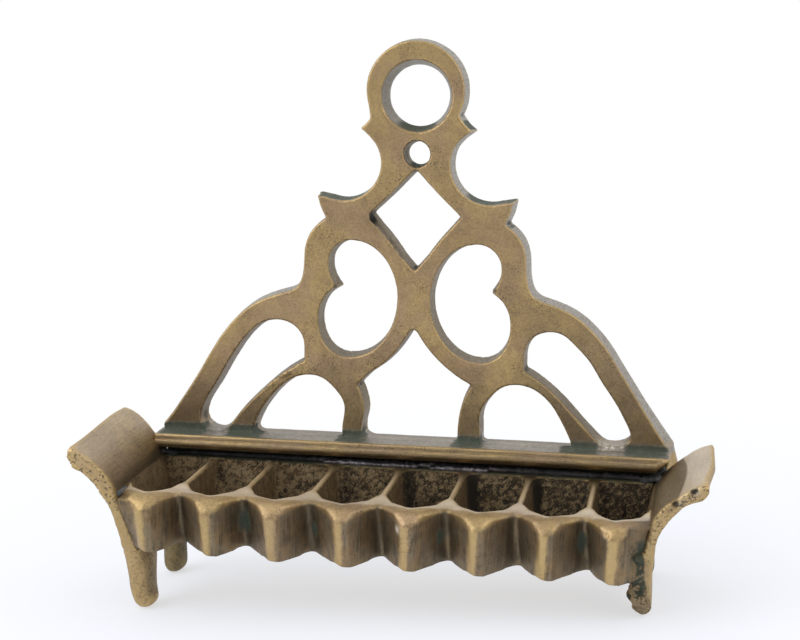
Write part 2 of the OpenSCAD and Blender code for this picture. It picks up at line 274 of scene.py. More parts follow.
def loft(rings):
    """A closed solid through rings of equally many points."""
    count = len(rings[0])
    faces = []
    for level in range(len(rings) - 1):
        start = level * count
        for i in range(count):
            j = (i + 1) % count
            faces.append((start + i, start + j, start + count + j, start + count + i))
    last = count * (len(rings) - 1)
    faces.append(tuple(reversed(range(count))))
    faces.append(tuple(range(last, last + count)))
    return np.vstack(rings), faces


def block(low, high):
    """A box between two corners."""
    x0, y0, z0 = low
    x1, y1, z1 = high
    corners = [(x0, y0), (x1, y0), (x1, y1), (x0, y1)]
    return loft([np.array([(x, y, z) for x, y in corners]) for z in (z0, z1)])


def laid_together(solids):
    """Several solids as one list of points and one list of faces."""
    points, faces, start = [], [], 0
    for part_points, part_faces in solids:
        points.append(part_points)
        faces += [tuple(start + i for i in face) for face in part_faces]
        start += len(part_points)
    return np.vstack(points), faces


def new_mesh(name, points, faces):
    mesh = bpy.data.meshes.new(name)
    mesh.from_pydata(np.asarray(points).tolist(), [], faces)
    mesh.update()
    return mesh


def welded_copy(node):
    """A CAD node's points, in upright millimetres, and its triangles, with equal points joined."""
    mesh = frame["nodes"][node].data
    points = np.zeros(len(mesh.vertices) * 3)
    mesh.vertices.foreach_get("co", points)
    corners = np.zeros(len(mesh.loops), dtype=int)
    mesh.loops.foreach_get("vertex_index", corners)
    points = to_upright(points.reshape(-1, 3))
    _, first, place = np.unique(np.round(points, 3), axis=0, return_index=True, return_inverse=True)
    return points[first], place.reshape(-1)[corners].reshape(-1, 3)


# %% The even skin, and what is measured on it
class Skin:
    """The points of a casting's skin, in upright millimetres, with its quads."""

    def __init__(self, name, mesh, voxel):
        body = bpy.data.objects.new(name, mesh)
        bpy.context.collection.objects.link(body)
        remesh = body.modifiers.new("recast", "REMESH")
        remesh.mode = "VOXEL"
        remesh.voxel_size = voxel
        depsgraph = bpy.context.evaluated_depsgraph_get()
        self.mesh = bpy.data.meshes.new_from_object(body.evaluated_get(depsgraph))
        self.mesh.name = name
        bpy.data.objects.remove(body)
        self.name = name
        self.points = np.zeros(len(self.mesh.vertices) * 3)
        self.mesh.vertices.foreach_get("co", self.points)
        self.points = self.points.reshape(-1, 3)
        edges = np.zeros(len(self.mesh.edges) * 2, dtype=int)
        self.mesh.edges.foreach_get("vertices", edges)
        self.edges = edges.reshape(-1, 2)
        self.around = np.bincount(self.edges.reshape(-1), minlength=len(self.points))
        print(name, "has", len(self.mesh.polygons), "quads")

    def average(self, values):
        """Each point's mean of its neighbours' values."""
        a, b = self.edges.T
        if values.ndim == 1:
            total = np.bincount(a, values[b], len(self.points)) + np.bincount(b, values[a], len(self.points))
            return total / self.around
        return np.stack([self.average(column) for column in values.T], axis=1)

    def softened(self, values, rounds):
        for _ in range(rounds):
            values = (values + self.average(values)) / 2
        return values

    def smooth(self, rounds, swell=0.52):
        """Rounds the edges, and swells back so that thin places keep their size."""
        for _ in range(rounds):
            self.points = self.points + 0.5 * (self.average(self.points) - self.points)
            self.points = self.points - swell * (self.average(self.points) - self.points)

    def melt(self, share, rounds):
        """Lets edges sink into round ones, where the share is above zero."""
        for _ in range(rounds):
            self.points = self.points + 0.5 * share[:, None] * (self.average(self.points) - self.points)

    def normals(self):
        self.mesh.vertices.foreach_set("co", self.points.reshape(-1))
        self.mesh.update()
        normals = np.zeros(len(self.points) * 3)
        self.mesh.vertices.foreach_get("normal", normals)
        return normals.reshape(-1, 3)

    def bend(self, rounds, width):
        """How far each point stands out of its surroundings, as a share of a width."""
        away = self.points - self.softened(self.points, rounds)
        return np.einsum("ij,ij->i", away, self.normals()) / width

    def grain(self, size, octaves=3, seed=0):
        """Noise between about -1 and 1, with grains of the given size."""
        offset = Vector((seed * 17.3, seed * 5.1, seed * 9.7))
        values = [noise.fractal(Vector(p) / size + offset, 0.7, 2.0, octaves) for p in self.points]
        return np.array(values)

    def raise_by(self, heights):
        self.points = self.points + self.normals() * heights[:, None]


def soft_step(values, low, high):
    share = np.clip((values - low) / (high - low), 0, 1)
    return share * share * (3 - 2 * share)


# %% [markdown]
# ## The backplate
# The plate was cast from a pattern that was drawn out of the sand towards the front. So its outline is a little
# smaller at the front than at the back, and its openings are a little wider: the camera sees their walls.
# The CAD plate is straight, at the size of the back. Its flat back gives the outlines, each is made even and
# smooth, and a loft leads it forward through the draft. The rail under the openings is a moulding of its own
# section, and the two tenons hold the plate in the trough's shelf.

# %% Sizes of the plate
plate_t = 8.5
outline_draft = 0.8
opening_draft = 0.7
ring_draft = 1.8
ring_land = 2.0
edge_round = 0.2
ledge_z = -1.6
rail_out = 6.6
rail_h = 5.4
rim_z = -11.0
shelf_t = 3.2
plate_half_w = 88.5


# %% Outlines from the plate's flat back
def back_outlines(node, back_y):
    """The closed outlines of a node's flat back, with the metal always on the right."""
    points, triangles = welded_copy(node)
    flat = triangles[(np.abs(points[triangles, 1] - back_y) < 0.02).all(axis=1)]
    sides = {(a, b) for face in flat.tolist() for a, b in zip(face, face[1:] + face[:1])}
    following = {a: b for a, b in sides if (b, a) not in sides}
    outlines = []
    while following:
        start, here = next(iter(following.items()))
        outline = [start]
        del following[start]
        while here != start:
            outline.append(here)
            here = following.pop(here)
        outlines.append(points[outline][:, [0, 2]])
    return sorted(outlines, key=lambda outline: -np.ptp(outline[:, 0]))


def directions(outline):
    sides = np.roll(outline, -1, axis=0) - outline
    return sides / np.linalg.norm(sides, axis=1)[:, None]


def even_outline(outline, step, corner=math.radians(24), rounds=14):
    """The outline in short even steps, with its facets smoothed and its sharp corners kept."""
    after = directions(outline)
    before = np.roll(after, 1, axis=0)
    sharp = np.sum(after * before, axis=1) < math.cos(corner)
    points, kept = [], []
    for i, start in enumerate(outline):
        end = outline[(i + 1) % len(outline)]
        count = max(1, round(float(np.linalg.norm(end - start)) / step))
        for k in range(count):
            points.append(start + (end - start) * k / count)
            kept.append(k == 0 and sharp[i])
    points, free = np.array(points), ~np.array(kept)
    for k in range(2 * rounds):
        middle = (np.roll(points, 1, axis=0) + np.roll(points, -1, axis=0)) / 2
        strength = 0.5 if k % 2 == 0 else -0.52
        points[free] += strength * (middle - points)[free]
    return points


def drawn_in(outline, amount):
    """The outline moved into the metal."""
    after = directions(outline)
    before = np.roll(after, 1, axis=0)
    inward = np.stack([before[:, 1] + after[:, 1], -before[:, 0] - after[:, 0]], axis=1)
    spread = np.maximum(1 + np.sum(before * after, axis=1), 0.75)
    return outline + amount * inward / spread[:, None]


outlines = [even_outline(outline, 0.8) for outline in back_outlines("backplate", plate_t)]
print(len(outlines), "outlines with", sum(len(outline) for outline in outlines), "points")


# %% The plate's walls and faces
def draft_of(outline):
    """How far an outline is drawn in at a depth behind the front face."""
    middle = outline.mean(axis=0)
    width = np.ptp(outline[:, 0])
    if width > plate_half_w:
        return lambda depth: outline_draft * (1 - depth / plate_t)
    if abs(middle[1] - RING_HOLE.z) < 2:
        return lambda depth: ring_draft * max(0, 1 - depth / (plate_t - ring_land))
    if abs(middle[1] - NECK_HOLE.z) < 2:
        return lambda depth: -0.75 * depth / plate_t
    return lambda depth: opening_draft * (1 - depth / plate_t)


DEPTHS = [(0, edge_round), (edge_round, 0), (2, 0), (4, 0), (plate_t - ring_land, 0), (plate_t - 0.3, 0), (plate_t, 0.3)]


def pierced_plate():
    points, faces, fronts, backs = [], [], [], []
    for outline in outlines:
        draft = draft_of(outline)
        count = len(outline)
        start = len(points)
        for depth, extra in DEPTHS:
            ring = drawn_in(outline, draft(depth) + extra)
            points += [(x, depth, z) for x, z in ring]
        for level in range(len(DEPTHS) - 1):
            row = start + level * count
            for i in range(count):
                j = (i + 1) % count
                faces.append((row + i, row + j, row + count + j, row + count + i))
        fronts.append(range(start, start + count))
        last = start + (len(DEPTHS) - 1) * count
        backs.append(range(last, last + count))
    for caps in (fronts, backs):
        flat = [[Vector((points[i][0], points[i][2], 0)) for i in ring] for ring in caps]
        numbers = [i for ring in caps for i in ring]
        faces += [tuple(numbers[i] for i in face) for face in tessellate_polygon(flat)]
    return np.array(points), faces


# %% The rail's moulding and the tenons
RAIL_SECTION = [
    (plate_t / 2, 0),
    (-rail_out + 0.5, 0),
    (-rail_out, -0.4),
    (-rail_out - 0.1, -1.0),
    (-rail_out + 0.15, -1.4),
    (-rail_out - 0.1, -1.8),
    (-rail_out - 0.6, -2.7),
    (-rail_out - 0.65, -3.5),
    (-rail_out - 0.3, -4.4),
    (-rail_out + 0.5, -5.1),
    (-rail_out + 1.3, -rail_h),
    (plate_t / 2, -rail_h),
]
RAIL_ENDS = [(-91.0, 0.7), (-90.2, 1), (84.6, 1), (88.8, 0.12)]


def rail():
    """The moulding from end to end. At its ends the lower corners are chopped off."""
    rings = []
    for x, share in RAIL_ENDS:
        rings.append(np.array([(x, y, ledge_z + max(z, -rail_h * share)) for y, z in RAIL_SECTION]))
    return loft(rings)


def tenons(tenon_w=11, tenon_t=4, head_spread=1.2, head_t=1.2):
    solids = []
    for side in (-1, 1):
        x, y, low = side * plate_half_w / 2, plate_t / 2, rim_z - shelf_t - head_t
        half_w, half_t = tenon_w / 2, tenon_t / 2
        solids.append(block((x - half_w, y - half_t, low), (x + half_w, y + half_t, rim_z + PAST)))
        half_w, half_t = half_w + head_spread - 0.3, half_t + head_spread / 2 - 0.2
        solids.append(block((x - half_w, y - half_t, low), (x + half_w, y + half_t, low + head_t)))
    return solids


plate = Skin("backplate_casting", new_mesh("plate", *laid_together([pierced_plate(), rail(), *tenons()])), 0.62)

# %% [markdown]
# The pattern was cut by eye: the ledge and the rail hang lower at the left end, and the right foot is splayed.
# Years of filing, polishing and knocks are added next. A dab raises or sinks a soft spot. A seam raises a line,
# as where the sand mould cracked. The notch on the diamond's lower left edge is a casting fault, left rough.


# %% Dabs, seams, and the plate's faults
def dab(skin, place, radius, height, reach=(1, 1, 1)):
    """Raises a soft lump, or sinks a dent where the height is below zero."""
    away = (skin.points - np.array(place)) / np.array(reach)
    skin.raise_by(height * np.exp(-np.sum(away * away, axis=1) / (radius * radius)))


def seam_distance(skin, path):
    """How far each point lies from a path of places."""
    nearest = np.full(len(skin.points), 1e6)
    for start, end in zip(path, path[1:]):
        start, side = np.array(start), np.subtract(end, start)
        along = np.clip((skin.points - start) @ side / (side @ side), 0, 1)
        away = np.linalg.norm(skin.points - start - along[:, None] * side, axis=1)
        nearest = np.minimum(nearest, away)
    return nearest


def sag(x):
    """How far the ledge and the rail hang down at a place along them: the left end is lower."""
    return 1.05 * np.clip((40 - x) / 130, 0, 1)


x, y, z = plate.points.T
at_ledge = soft_step(z, -11, -8) * (1 - soft_step(z, 1.5, 8))
right_foot = soft_step(x, 83, 88) * soft_step(-z, -1.5, 2) * (1 - soft_step(-z, 5, 8)) * (1 - soft_step(y, 0.5, 6))
plate.points += np.stack([0.7 * right_foot, 0 * y, -sag(x) * at_ledge], axis=1)
PULLS = [
    ((-23.5, 1.0), 6, (-1.0, 0)),
    ((-16.0, 1.5), 5, (-1.7, 0)),
    ((-20.6, 19.0), 4, (0.9, -1.5)),
    ((-59.0, 1.0), 7, (-0.9, 0)),
    ((-69.0, 1.2), 5.5, (-0.8, -1.5)),
    ((51.5, 4.0), 8, (-1.2, 0)),
    ((56.5, 34.0), 7, (-0.9, -0.7)),
    ((64.5, 23.0), 7, (-0.55, -0.25)),
    ((74.5, 9.0), 5, (-0.4, 0)),
    ((-27.5, 16.0), 5, (-0.5, -0.4)),
    ((26.0, 16.5), 5, (0.6, -0.3)),
    ((-72.5, 15.0), 6, (0.4, 0)),
    ((-14.5, 102.0), 5, (-0.5, 0)),
    ((-32.0, 82.5), 4, (-0.4, 0.3)),
    ((-9.0, 25.5), 8, (0.4, -0.35)),
    ((-90.0, 0.0), 6, (-1.3, 0)),
    ((-74.0, 30.0), 14, (-0.5, 0)),
]
x, y, z = plate.points.T
above = soft_step(z + sag(x), ledge_z, ledge_z + 1)
for (px, pz), radius, pull in PULLS:
    share = above * np.exp(-((x - px) ** 2 + (z - pz) ** 2) / radius**2)
    plate.points[:, 0] += share * pull[0]
    plate.points[:, 2] += share * pull[1]
rear_push = np.interp(z, [-6, -0.5, 2.6, 15, 50], [2.9, 1.4, 1.35, 0.6, 0.3])
plate.points[:, 0] += rear_push * soft_step(y, 0.5, 6) * soft_step(x - np.interp(z, [0, 60], [78, 30]), -8, 4)
plate.smooth(1)
plate.raise_by(0.05 * plate.grain(7, 2, seed=1) + 0.03 * plate.grain(1.4, 2, seed=2))
ARCH_SEAM = [(-56.5, 0, 11.1), (-53.6, 0, 14.1), (-48.9, 0, 17.9), (-43.5, 0, 20.4), (-34.9, 0, 22.4)]
BROKEN_EDGE = [(-14.6, 0.6, 75.2), (-12.6, 0.8, 72.6), (-9.6, 1.0, 69.4), (-6.8, 1.0, 66.2), (-4.6, 1.0, 63.6)]
rough = plate.grain(2.6, 3, seed=12)
to_break = seam_distance(plate, BROKEN_EDGE)
broken_back = 0.5 * (1 + rough) * np.exp(-((to_break / 2.0) ** 2)) * (1 - soft_step(plate.points[:, 1], 1, 5))
plate.points -= broken_back[:, None] * np.array((1, 0, 0.8))
plate.raise_by(np.exp(-((to_break / 1.5) ** 2)) * (0.25 * rough - 0.1))
plate.raise_by(0.4 * np.exp(-((seam_distance(plate, ARCH_SEAM) / 0.9) ** 2)) * (0.6 + rough))
FAULTS = [
    ((-14.0, 1.6, 74.6), 1.5, -1.2),
    ((-8.3, 0.2, 68.3), 0.7, 0.5),
    ((-3.4, 4.5, 65.4), 1.1, 0.7),
    ((-4.0, 0.0, 58.6), 0.7, -0.5),
    ((27.9, 0.4, 51.7), 0.9, -1.0),
    ((-27.8, 0.5, 51.2), 0.9, -0.6),
    ((68.9, 1.0, 0.0), 1.8, 0.8),
]
for place, radius, height in FAULTS:
    dab(plate, place, radius, height)

# %% [markdown]
# ## The trough
# The trough follows a rule: one well and one valley of its zigzag front repeat at an even pitch. That is what
# Geometry Nodes are for. The tree takes the sizes as inputs, makes one valley and one well as closed cutters,
# places them along the row, and cuts them from a plain blank. Real patterns are never that even, so the skin is
# pulled to and fro along the row afterwards.

# %% Sizes of the trough
WELLS = 8
well_pitch = 21.8
trough_shift = 1.9
wells_shift = 0.9
trough_h = 19.0
floor_t = 3.0
partition_t = 2.2
rear_wall_t = 3.0
tip_out = 55.2
ridge_w = 3.2
zigzag_depth = 12.8
front_lean = 3.0
ridge_slant = 1.5
well_l = 43.0
well_point = 13.0
cheek_lean = 4.2
cheek_front = 53.0
under_z = rim_z - trough_h
valley_w = 0.4
worn_tip = 0.35
trough_half = well_pitch * WELLS / 2 - 0.5
TROUGH_SIZES = {
    "Pitch": well_pitch,
    "Half Length": trough_half,
    "Height": trough_h,
    "Floor": floor_t,
    "Partition": partition_t - 0.4,
    "Rear Wall": rear_wall_t,
    "Reach": tip_out + worn_tip,
    "Ridge": ridge_w,
    "Zigzag": zigzag_depth + worn_tip,
    "Front Lean": front_lean,
    "Slant": ridge_slant,
    "Well Length": well_l,
    "Well Point": well_point,
    "End Lean": cheek_lean,
    "Row Shift": wells_shift,
    "Worn Back": 4.7,
    "Worn Down": 3.6,
}


# %% A tree with named inputs
def new_tree(name, sizes, counts):
    """A geometry tree whose inputs are the named sizes and counts."""
    tree = bpy.data.node_groups.new(name, "GeometryNodeTree")
    tree.interface.new_socket("Geometry", in_out="INPUT", socket_type="NodeSocketGeometry")
    tree.interface.new_socket("Geometry", in_out="OUTPUT", socket_type="NodeSocketGeometry")
    for label, kind in [(label, "NodeSocketFloat") for label in sizes] + [(label, "NodeSocketInt") for label in counts]:
        tree.interface.new_socket(label, in_out="INPUT", socket_type=kind)
    net = Net(tree)
    inputs = tree.nodes.new("NodeGroupInput")
    return net, {label: net.wire(inputs, label) for label in [*sizes, *counts]}


def end_tree(net, shape, material):
    """Realize Instances and Set Material, and then the tree's output."""
    real = net.add("GeometryNodeRealizeInstances", None, {"Geometry": shape})
    coloured = net.add("GeometryNodeSetMaterial", None, {"Geometry": real, "Material": material})
    output = net.tree.nodes.new("NodeGroupOutput")
    net.join(output.inputs["Geometry"], coloured)


def grown_by(tree_name, values):
    """Runs a tree on an empty object with the given inputs, and returns a plain mesh."""
    tree = bpy.data.node_groups[tree_name]
    body = bpy.data.objects.new(tree_name, bpy.data.meshes.new(tree_name))
    bpy.context.collection.objects.link(body)
    modifier = body.modifiers.new(tree_name, "NODES")
    modifier.node_group = tree
    for item in tree.interface.items_tree:
        if item.in_out == "INPUT" and item.name in values:
            modifier[item.identifier] = values[item.name]
    depsgraph = bpy.context.evaluated_depsgraph_get()
    mesh = bpy.data.meshes.new_from_object(body.evaluated_get(depsgraph))
    bpy.data.objects.remove(body)
    return mesh


def moved(net, shape, x, y, z):
    """The shape with every point at a new place."""
    return net.add("GeometryNodeSetPosition", None, {"Geometry": shape, "Position": net.vector(x, y, z)})


def unit_cube(net):
    """A cube, with its points' sides: left or right as -1 or 1, and front and top as 0 or 1."""
    cube = net.add("GeometryNodeMeshCube", None, {"Size": (1, 1, 1)})
    x, y, z = net.parts(net.add("GeometryNodeInputPosition"))
    return cube, x.side(), 0.5 - y, z + 0.5


def row_of(net, shape, count, pitch, middle):
    """Copies of a shape at an even pitch along the row."""
    start = middle - pitch * (count - 1) / 2
    links = {"Count": count, "Start Location": net.vector(start, 0, 0), "Offset": net.vector(pitch, 0, 0)}
    line = net.add("GeometryNodeMeshLine", {"mode": "OFFSET", "count_mode": "TOTAL"}, links)
    copies = net.add("GeometryNodeInstanceOnPoints", None, {"Points": line, "Instance": shape})
    return net.add("GeometryNodeRealizeInstances", None, {"Geometry": copies})


def cut(net, shape, cutter):
    links = {"Mesh 1": shape, "Mesh 2": cutter}
    return net.add("GeometryNodeMeshBoolean", {"operation": "DIFFERENCE", "solver": "EXACT"}, links, out="Mesh")


# %% The trough's blank, valleys and wells
def trough_blank(net, size):
    """A plain block whose ends and front lean in towards its underside."""
    cube, side, front, top = unit_cube(net)
    half = size["Half Length"] - size["End Lean"] * (1 - top)
    reach = size["Reach"] - size["Front Lean"] * (1 - top)
    return moved(net, cube, side * half, front * reach * -1, (top - 1) * size["Height"])


def valley_cutter(net, size):
    """A wedge that takes away one valley, leaning back and across as it goes down."""
    cube, side, front, top = unit_cube(net)
    level = (top * (size["Height"] + 2 * PAST) - PAST) / size["Height"]
    slope = (size["Pitch"] - size["Ridge"] - valley_w) / 2 / size["Zigzag"]
    half = valley_w / 2 + slope * (size["Zigzag"] + PAST) * front
    depth = size["Reach"] - size["Zigzag"] + (size["Zigzag"] + PAST) * front - size["Front Lean"] * (1 - level)
    across = size["Slant"] * (1 - level)
    return moved(net, cube, side * half + across, depth * -1, (level - 1) * size["Height"])


def power(value, exponent):
    """A value raised with its sign kept."""
    return value.side() * value.size() ** exponent


def well_cutter(net, size):
    """A well with a blunt point in front, its walls drawn in a little towards a rounded floor."""
    links = {"Vertices": 56, "Side Segments": 8, "Radius": 1, "Depth": 1}
    pot = net.add("GeometryNodeMeshCylinder", {"fill_type": "NGON"}, links, out="Mesh")
    x, y, z = net.parts(net.add("GeometryNodeInputPosition"))
    top = z + 0.5
    rear = y.step(-0.001, 0.001)
    plan = 1 - 0.08 * (1 - top) - 0.12 * (1 - top) ** 7
    half = (size["Pitch"] - size["Partition"]) / 2
    straight = size["Well Length"] - size["Well Point"]
    wide = between(power(x, 1.5), power(x, 0.2), rear) * half * plan
    long = between(power(y, 1.5) * size["Well Point"], power(y, 0.2) * straight, rear)
    middle = size["Rear Wall"] + straight
    deep = size["Height"] - size["Floor"]
    return moved(net, pot, wide, long * plan - middle, top * (deep + PAST) - deep)


def end_cutter(net, size, end):
    """Opens the well on one end of the row, -1 or 1, towards the cheek that closes it."""
    cube, side, front, top = unit_cube(net)
    straight = size["Well Length"] - size["Well Point"]
    deep = size["Height"] - size["Floor"] - 0.6
    start = size["Pitch"] * (WELLS - 1) / 2 - size["Row Shift"] * end
    along = between(start, size["Half Length"] + 2 * PAST, (side * end + 1) / 2)
    across = size["Rear Wall"] + 0.4 + front * (straight - 1.4)
    return moved(net, cube, along * end, across * -1, top * (deep + PAST) - deep)


def worn_edge_cutter(net, size):
    """A long wedge that bevels the rim off towards the tips."""
    cube, side, front, top = unit_cube(net)
    slope = size["Worn Down"] / size["Worn Back"]
    back = size["Reach"] - size["Worn Back"]
    out = between(back - 2, size["Reach"] + 4, front)
    low = (out - back) * -1 * slope
    return moved(net, cube, side * (size["Half Length"] + 4), out * -1, between(low, 9, top))


def grow_trough_tree(metal):
    net, size = new_tree("trough_row", TROUGH_SIZES, ["Wells"])
    middle = 0 - size["Row Shift"]
    shape = cut(net, trough_blank(net, size), row_of(net, valley_cutter(net, size), size["Wells"] + 1, size["Pitch"], middle))
    shape = cut(net, shape, row_of(net, well_cutter(net, size), size["Wells"], size["Pitch"], middle))
    for end in (1, -1):
        shape = cut(net, shape, end_cutter(net, size, end))
    shape = cut(net, shape, worn_edge_cutter(net, size))
    end_tree(net, shape, metal)


brass = bpy.data.materials.new("worn_brass")
grow_trough_tree(brass)
trough_mesh = grown_by("trough_row", {**TROUGH_SIZES, "Wells": WELLS})
print("the exact shape of the trough has", len(trough_mesh.polygons), "faces")

# %% The shelf behind the trough
slot_gap = 0.15
slot_half = 11 / 2 + slot_gap
slot_front = plate_t / 2 - 4 / 2 - slot_gap
row_left = -trough_shift - trough_half
row_right = -trough_shift + trough_half


def shelf():
    """The shelf that carries the plate, laid as strips round its two slots."""
    low, high = rim_z - shelf_t, rim_z
    left, right = row_left + 1, row_right - 1
    strips = [
        ((left, -PAST, low), (right, slot_front, high)),
        ((left, plate_t - slot_front, low), (right, plate_t, high)),
    ]
    edges = [left]
    for side in (-1, 1):
        middle = side * plate_half_w / 2
        edges += [middle - slot_half, middle + slot_half]
    edges.append(right)
    for start, stop in zip(edges[::2], edges[1::2]):
        strips.append(((start, slot_front - 0.2, low), (stop, plate_t - slot_front + 0.2, high)))
    return [block(*strip) for strip in strips]


row_points = np.zeros(len(trough_mesh.vertices) * 3)
trough_mesh.vertices.foreach_get("co", row_points)
row_points = row_points.reshape(-1, 3) + (-trough_shift, 0, rim_z)
row_faces = [tuple(face.vertices) for face in trough_mesh.polygons]


# %% The corners between the row and the cheeks
def corner_fill(side, top, set_back):
    """Metal that fills the corner between the outermost tip and the cheek, and runs out on the leg."""
    rings = []
    for down, share in ((top, 1), (trough_h - 1.0, 0.8), (trough_h + 4, 0.1)):
        level = down / trough_h
        reach = tip_out - front_lean * level
        end = -trough_shift + side * (trough_half - cheek_lean * min(level, 1) + 0.6)
        tip = -trough_shift - wells_shift + side * well_pitch * (WELLS - 1) / 2 + ridge_slant * level
        tip = end + (tip + side * (ridge_w / 2 - 0.9) - end) * share
        front = -cheek_front + 2.6 + set_back * (share == 1) + 0.37 * down + 3.0 * max(0, down - trough_h) / 4
        plan = [
            (tip, front - 1.0 + (front + reach - 2.2) * -share * 0.999),
            (end, front),
            (end, front + 7),
            (tip, front + 4.5),
        ]
        rings.append(np.array([(x, y, rim_z - down) for x, y in plan[::side]]))
    return loft(rings)


fills = [corner_fill(-1, 1.4, 0), corner_fill(1, 0.5, 1.2)]
row_mesh = new_mesh("trough", *laid_together([(row_points, row_faces), *shelf(), *fills]))
trough = Skin("oil_trough_casting", row_mesh, 0.72)

# %% [markdown]
# The founder's pattern was cut by eye: no two wells are equally wide, and the tips stand unevenly. Each tip and
# each partition gets its own small push along the row, and what lies between them follows.

# %% The uneven row, and the wear of its rim
TIP_PUSH = [1.0, 0.1, -0.8, 0.7, 0.3, 0.7, 0.7, -0.6]
WALL_PUSH = [-1.8, -2.1, -1.7, -0.2, 0.3, 1.2, 1.8]


def row_place(number):
    """Where the middle of a well lies along the row, counted from 0. Halves are the partitions."""
    return (number - (WELLS - 1) / 2) * well_pitch - wells_shift - trough_shift


def push_along(x, pushes, first):
    places = [row_left, *[row_place(first + i) for i in range(len(pushes))], row_right]
    return np.interp(x, places, [0, *pushes, 0])


trough.smooth(2)


def along_valley(x):
    """0 in a valley of the zigzag and 1 at a tip."""
    turns = (x - row_place(-0.5)) / well_pitch
    return np.abs(turns - np.round(turns)) * 2


def front_wall(skin):
    """How far outside the middle of the zigzag wall a point lies, from 0 to 1."""
    x, y, z = skin.points.T
    outer = tip_out - zigzag_depth * (1 - along_valley(x)) - front_lean * (rim_z - z) / trough_h
    return soft_step(-y, outer - 5.2, outer - 3.4)


x, y, z = trough.points.T
inland = 1 - soft_step(np.abs(x + trough_shift), trough_half - 9, trough_half - 6)
tips_only = soft_step(along_valley(x), 0.66, 0.8)
valleys_only = 1 - soft_step(along_valley(x), 0.12, 0.25)
trough.melt(front_wall(trough) * np.maximum(tips_only, valleys_only * inland), 9)
trough.melt(front_wall(trough) * valleys_only * inland * soft_step(z, under_z + 2, under_z + 5), 20)
trough.melt(front_wall(trough) * soft_step(z, rim_z - 5, rim_z - 3) * inland, 10)
x, y, z = trough.points.T
front_share = soft_step(-y, 36, 52)
tips = push_along(x, TIP_PUSH, 0)
walls = push_along(x, WALL_PUSH, 0.5)
trough.points[:, 0] += walls + (tips - walls) * front_share
valley = along_valley(x)
upright_tips = 1.1 * soft_step(x, -8, 8) * (rim_z - z) / trough_h * soft_step(-y, 34, 46)
trough.points[:, 0] -= upright_tips * (1 - soft_step(x, row_place(7) + 2, row_right - 2))
near_rim = soft_step(z - rim_z, -2.5, 0)
worn_valley = (1 - soft_step(valley, 0.1, 0.8)) * soft_step(-y, 36, 40)
worn_walls = soft_step(-y, 4, 10) * (1 - soft_step(-y, 30, 38))
worn_down = near_rim * (0.8 * worn_valley + 0.15 * worn_walls)
trough.points[:, 2] -= worn_down
lower = -0.15 + 0.6 * soft_step(x, -60, -15)
trough.points[:, 2] -= lower * soft_step(rim_z - z, 8, trough_h) * soft_step(-y, 34, 40)

# %% What is inside the wells
trough.outside = front_wall(trough)
in_plan = soft_step(-y, 1.2, 2.0) * (1 - trough.outside)
in_height = soft_step(z, under_z + 1.2, under_z + 1.8)
trough.inside = in_plan * in_height * (1 - soft_step(z + worn_down * 1.2, rim_z - 1.2, rim_z - 0.2))
smooth_sides = soft_step(np.abs(trough.normals()[:, 0]), 0.55, 0.8) * trough.inside
trough.crust = np.clip(0.5 + 0.7 * trough.grain(1.6, 4, seed=3), 0, 1)
trough.raise_by(trough.inside * 0.6 * (trough.crust - 0.5) * (1 - 0.8 * smooth_sides))
trough.raise_by(0.04 * trough.grain(6, 2, seed=4) + 0.03 * trough.grain(1.5, 2, seed=14))
CRACKS = [
    ((-57.3, -55.0, -16.6), 0.9, -0.6),
    ((5.3, -52.5, -16.4), 1.2, 0.35),
    ((70.8, -54.0, -13.5), 1.0, -0.8),
]
for place, radius, height in CRACKS:
    dab(trough, place, radius, height)
print("share of the trough's skin inside its wells:", round(float(np.mean(trough.inside > 0.5)), 2))

# %% [markdown]
# ## Beads along a path
# The joints were closed with soft solder, run along with an iron: a line of small overlapping beads. The right
# front leg also carries a rough mass of metal that ran out of its mould. Geometry Nodes lay beads along a straight
# path, each of its own size, and the remesh melts them together.


# %% The tree that lays a run of beads
def grow_bead_tree(metal):
    sizes = ["Bead", "Unevenness"]
    net, size = new_tree("bead_run", sizes, ["Beads"])
    tree = net.tree
    for label in ("Start", "End"):
        tree.interface.new_socket(label, in_out="INPUT", socket_type="NodeSocketVector")
    inputs = next(node for node in tree.nodes if node.bl_idname == "NodeGroupInput")
    links = {"Start": net.wire(inputs, "Start"), "End": net.wire(inputs, "End")}
    line = net.add("GeometryNodeCurvePrimitiveLine", None, links)
    spots = net.add("GeometryNodeCurveToPoints", {"mode": "COUNT"}, {"Curve": line, "Count": size["Beads"]})
    uneven = {"data_type": "FLOAT_VECTOR"}
    reach = size["Unevenness"]
    low = net.vector(1 - reach, 1 - reach, 1 - reach)
    high = net.vector(1 + reach, 1 + reach, 1 + reach)
    stretch = net.add("FunctionNodeRandomValue", uneven, {"Min": low, "Max": high, "Seed": 4})
    ball = net.add("GeometryNodeMeshIcoSphere", None, {"Radius": size["Bead"], "Subdivisions": 2})
    links = {"Points": spots, "Instance": ball, "Scale": stretch}
    end_tree(net, net.add("GeometryNodeInstanceOnPoints", None, links), metal)


solder_metal = bpy.data.materials.new("grey_solder")
grow_bead_tree(solder_metal)


def bead_run(start, end, bead, uneven=0.18):
    """A run of beads from one place to another, in upright millimetres."""
    length = float(np.linalg.norm(np.subtract(end, start)))
    values = {"Start": start, "End": end, "Bead": bead, "Unevenness": uneven, "Beads": max(3, int(length / bead * 1.1))}
    mesh = grown_by("bead_run", values)
    points = np.zeros(len(mesh.vertices) * 3)
    mesh.vertices.foreach_get("co", points)
    return points.reshape(-1, 3), [tuple(face.vertices) for face in mesh.polygons]


# %% [markdown]
# ## The cheeks
# Each cheek is one casting: a flare that curls outwards above the rim, and two legs under it. Their CAD solids
# have the right section and side view, so a welded copy of each is recast. The tops are then rounded as hands
# have rounded them, and the feet are worn to stubs.

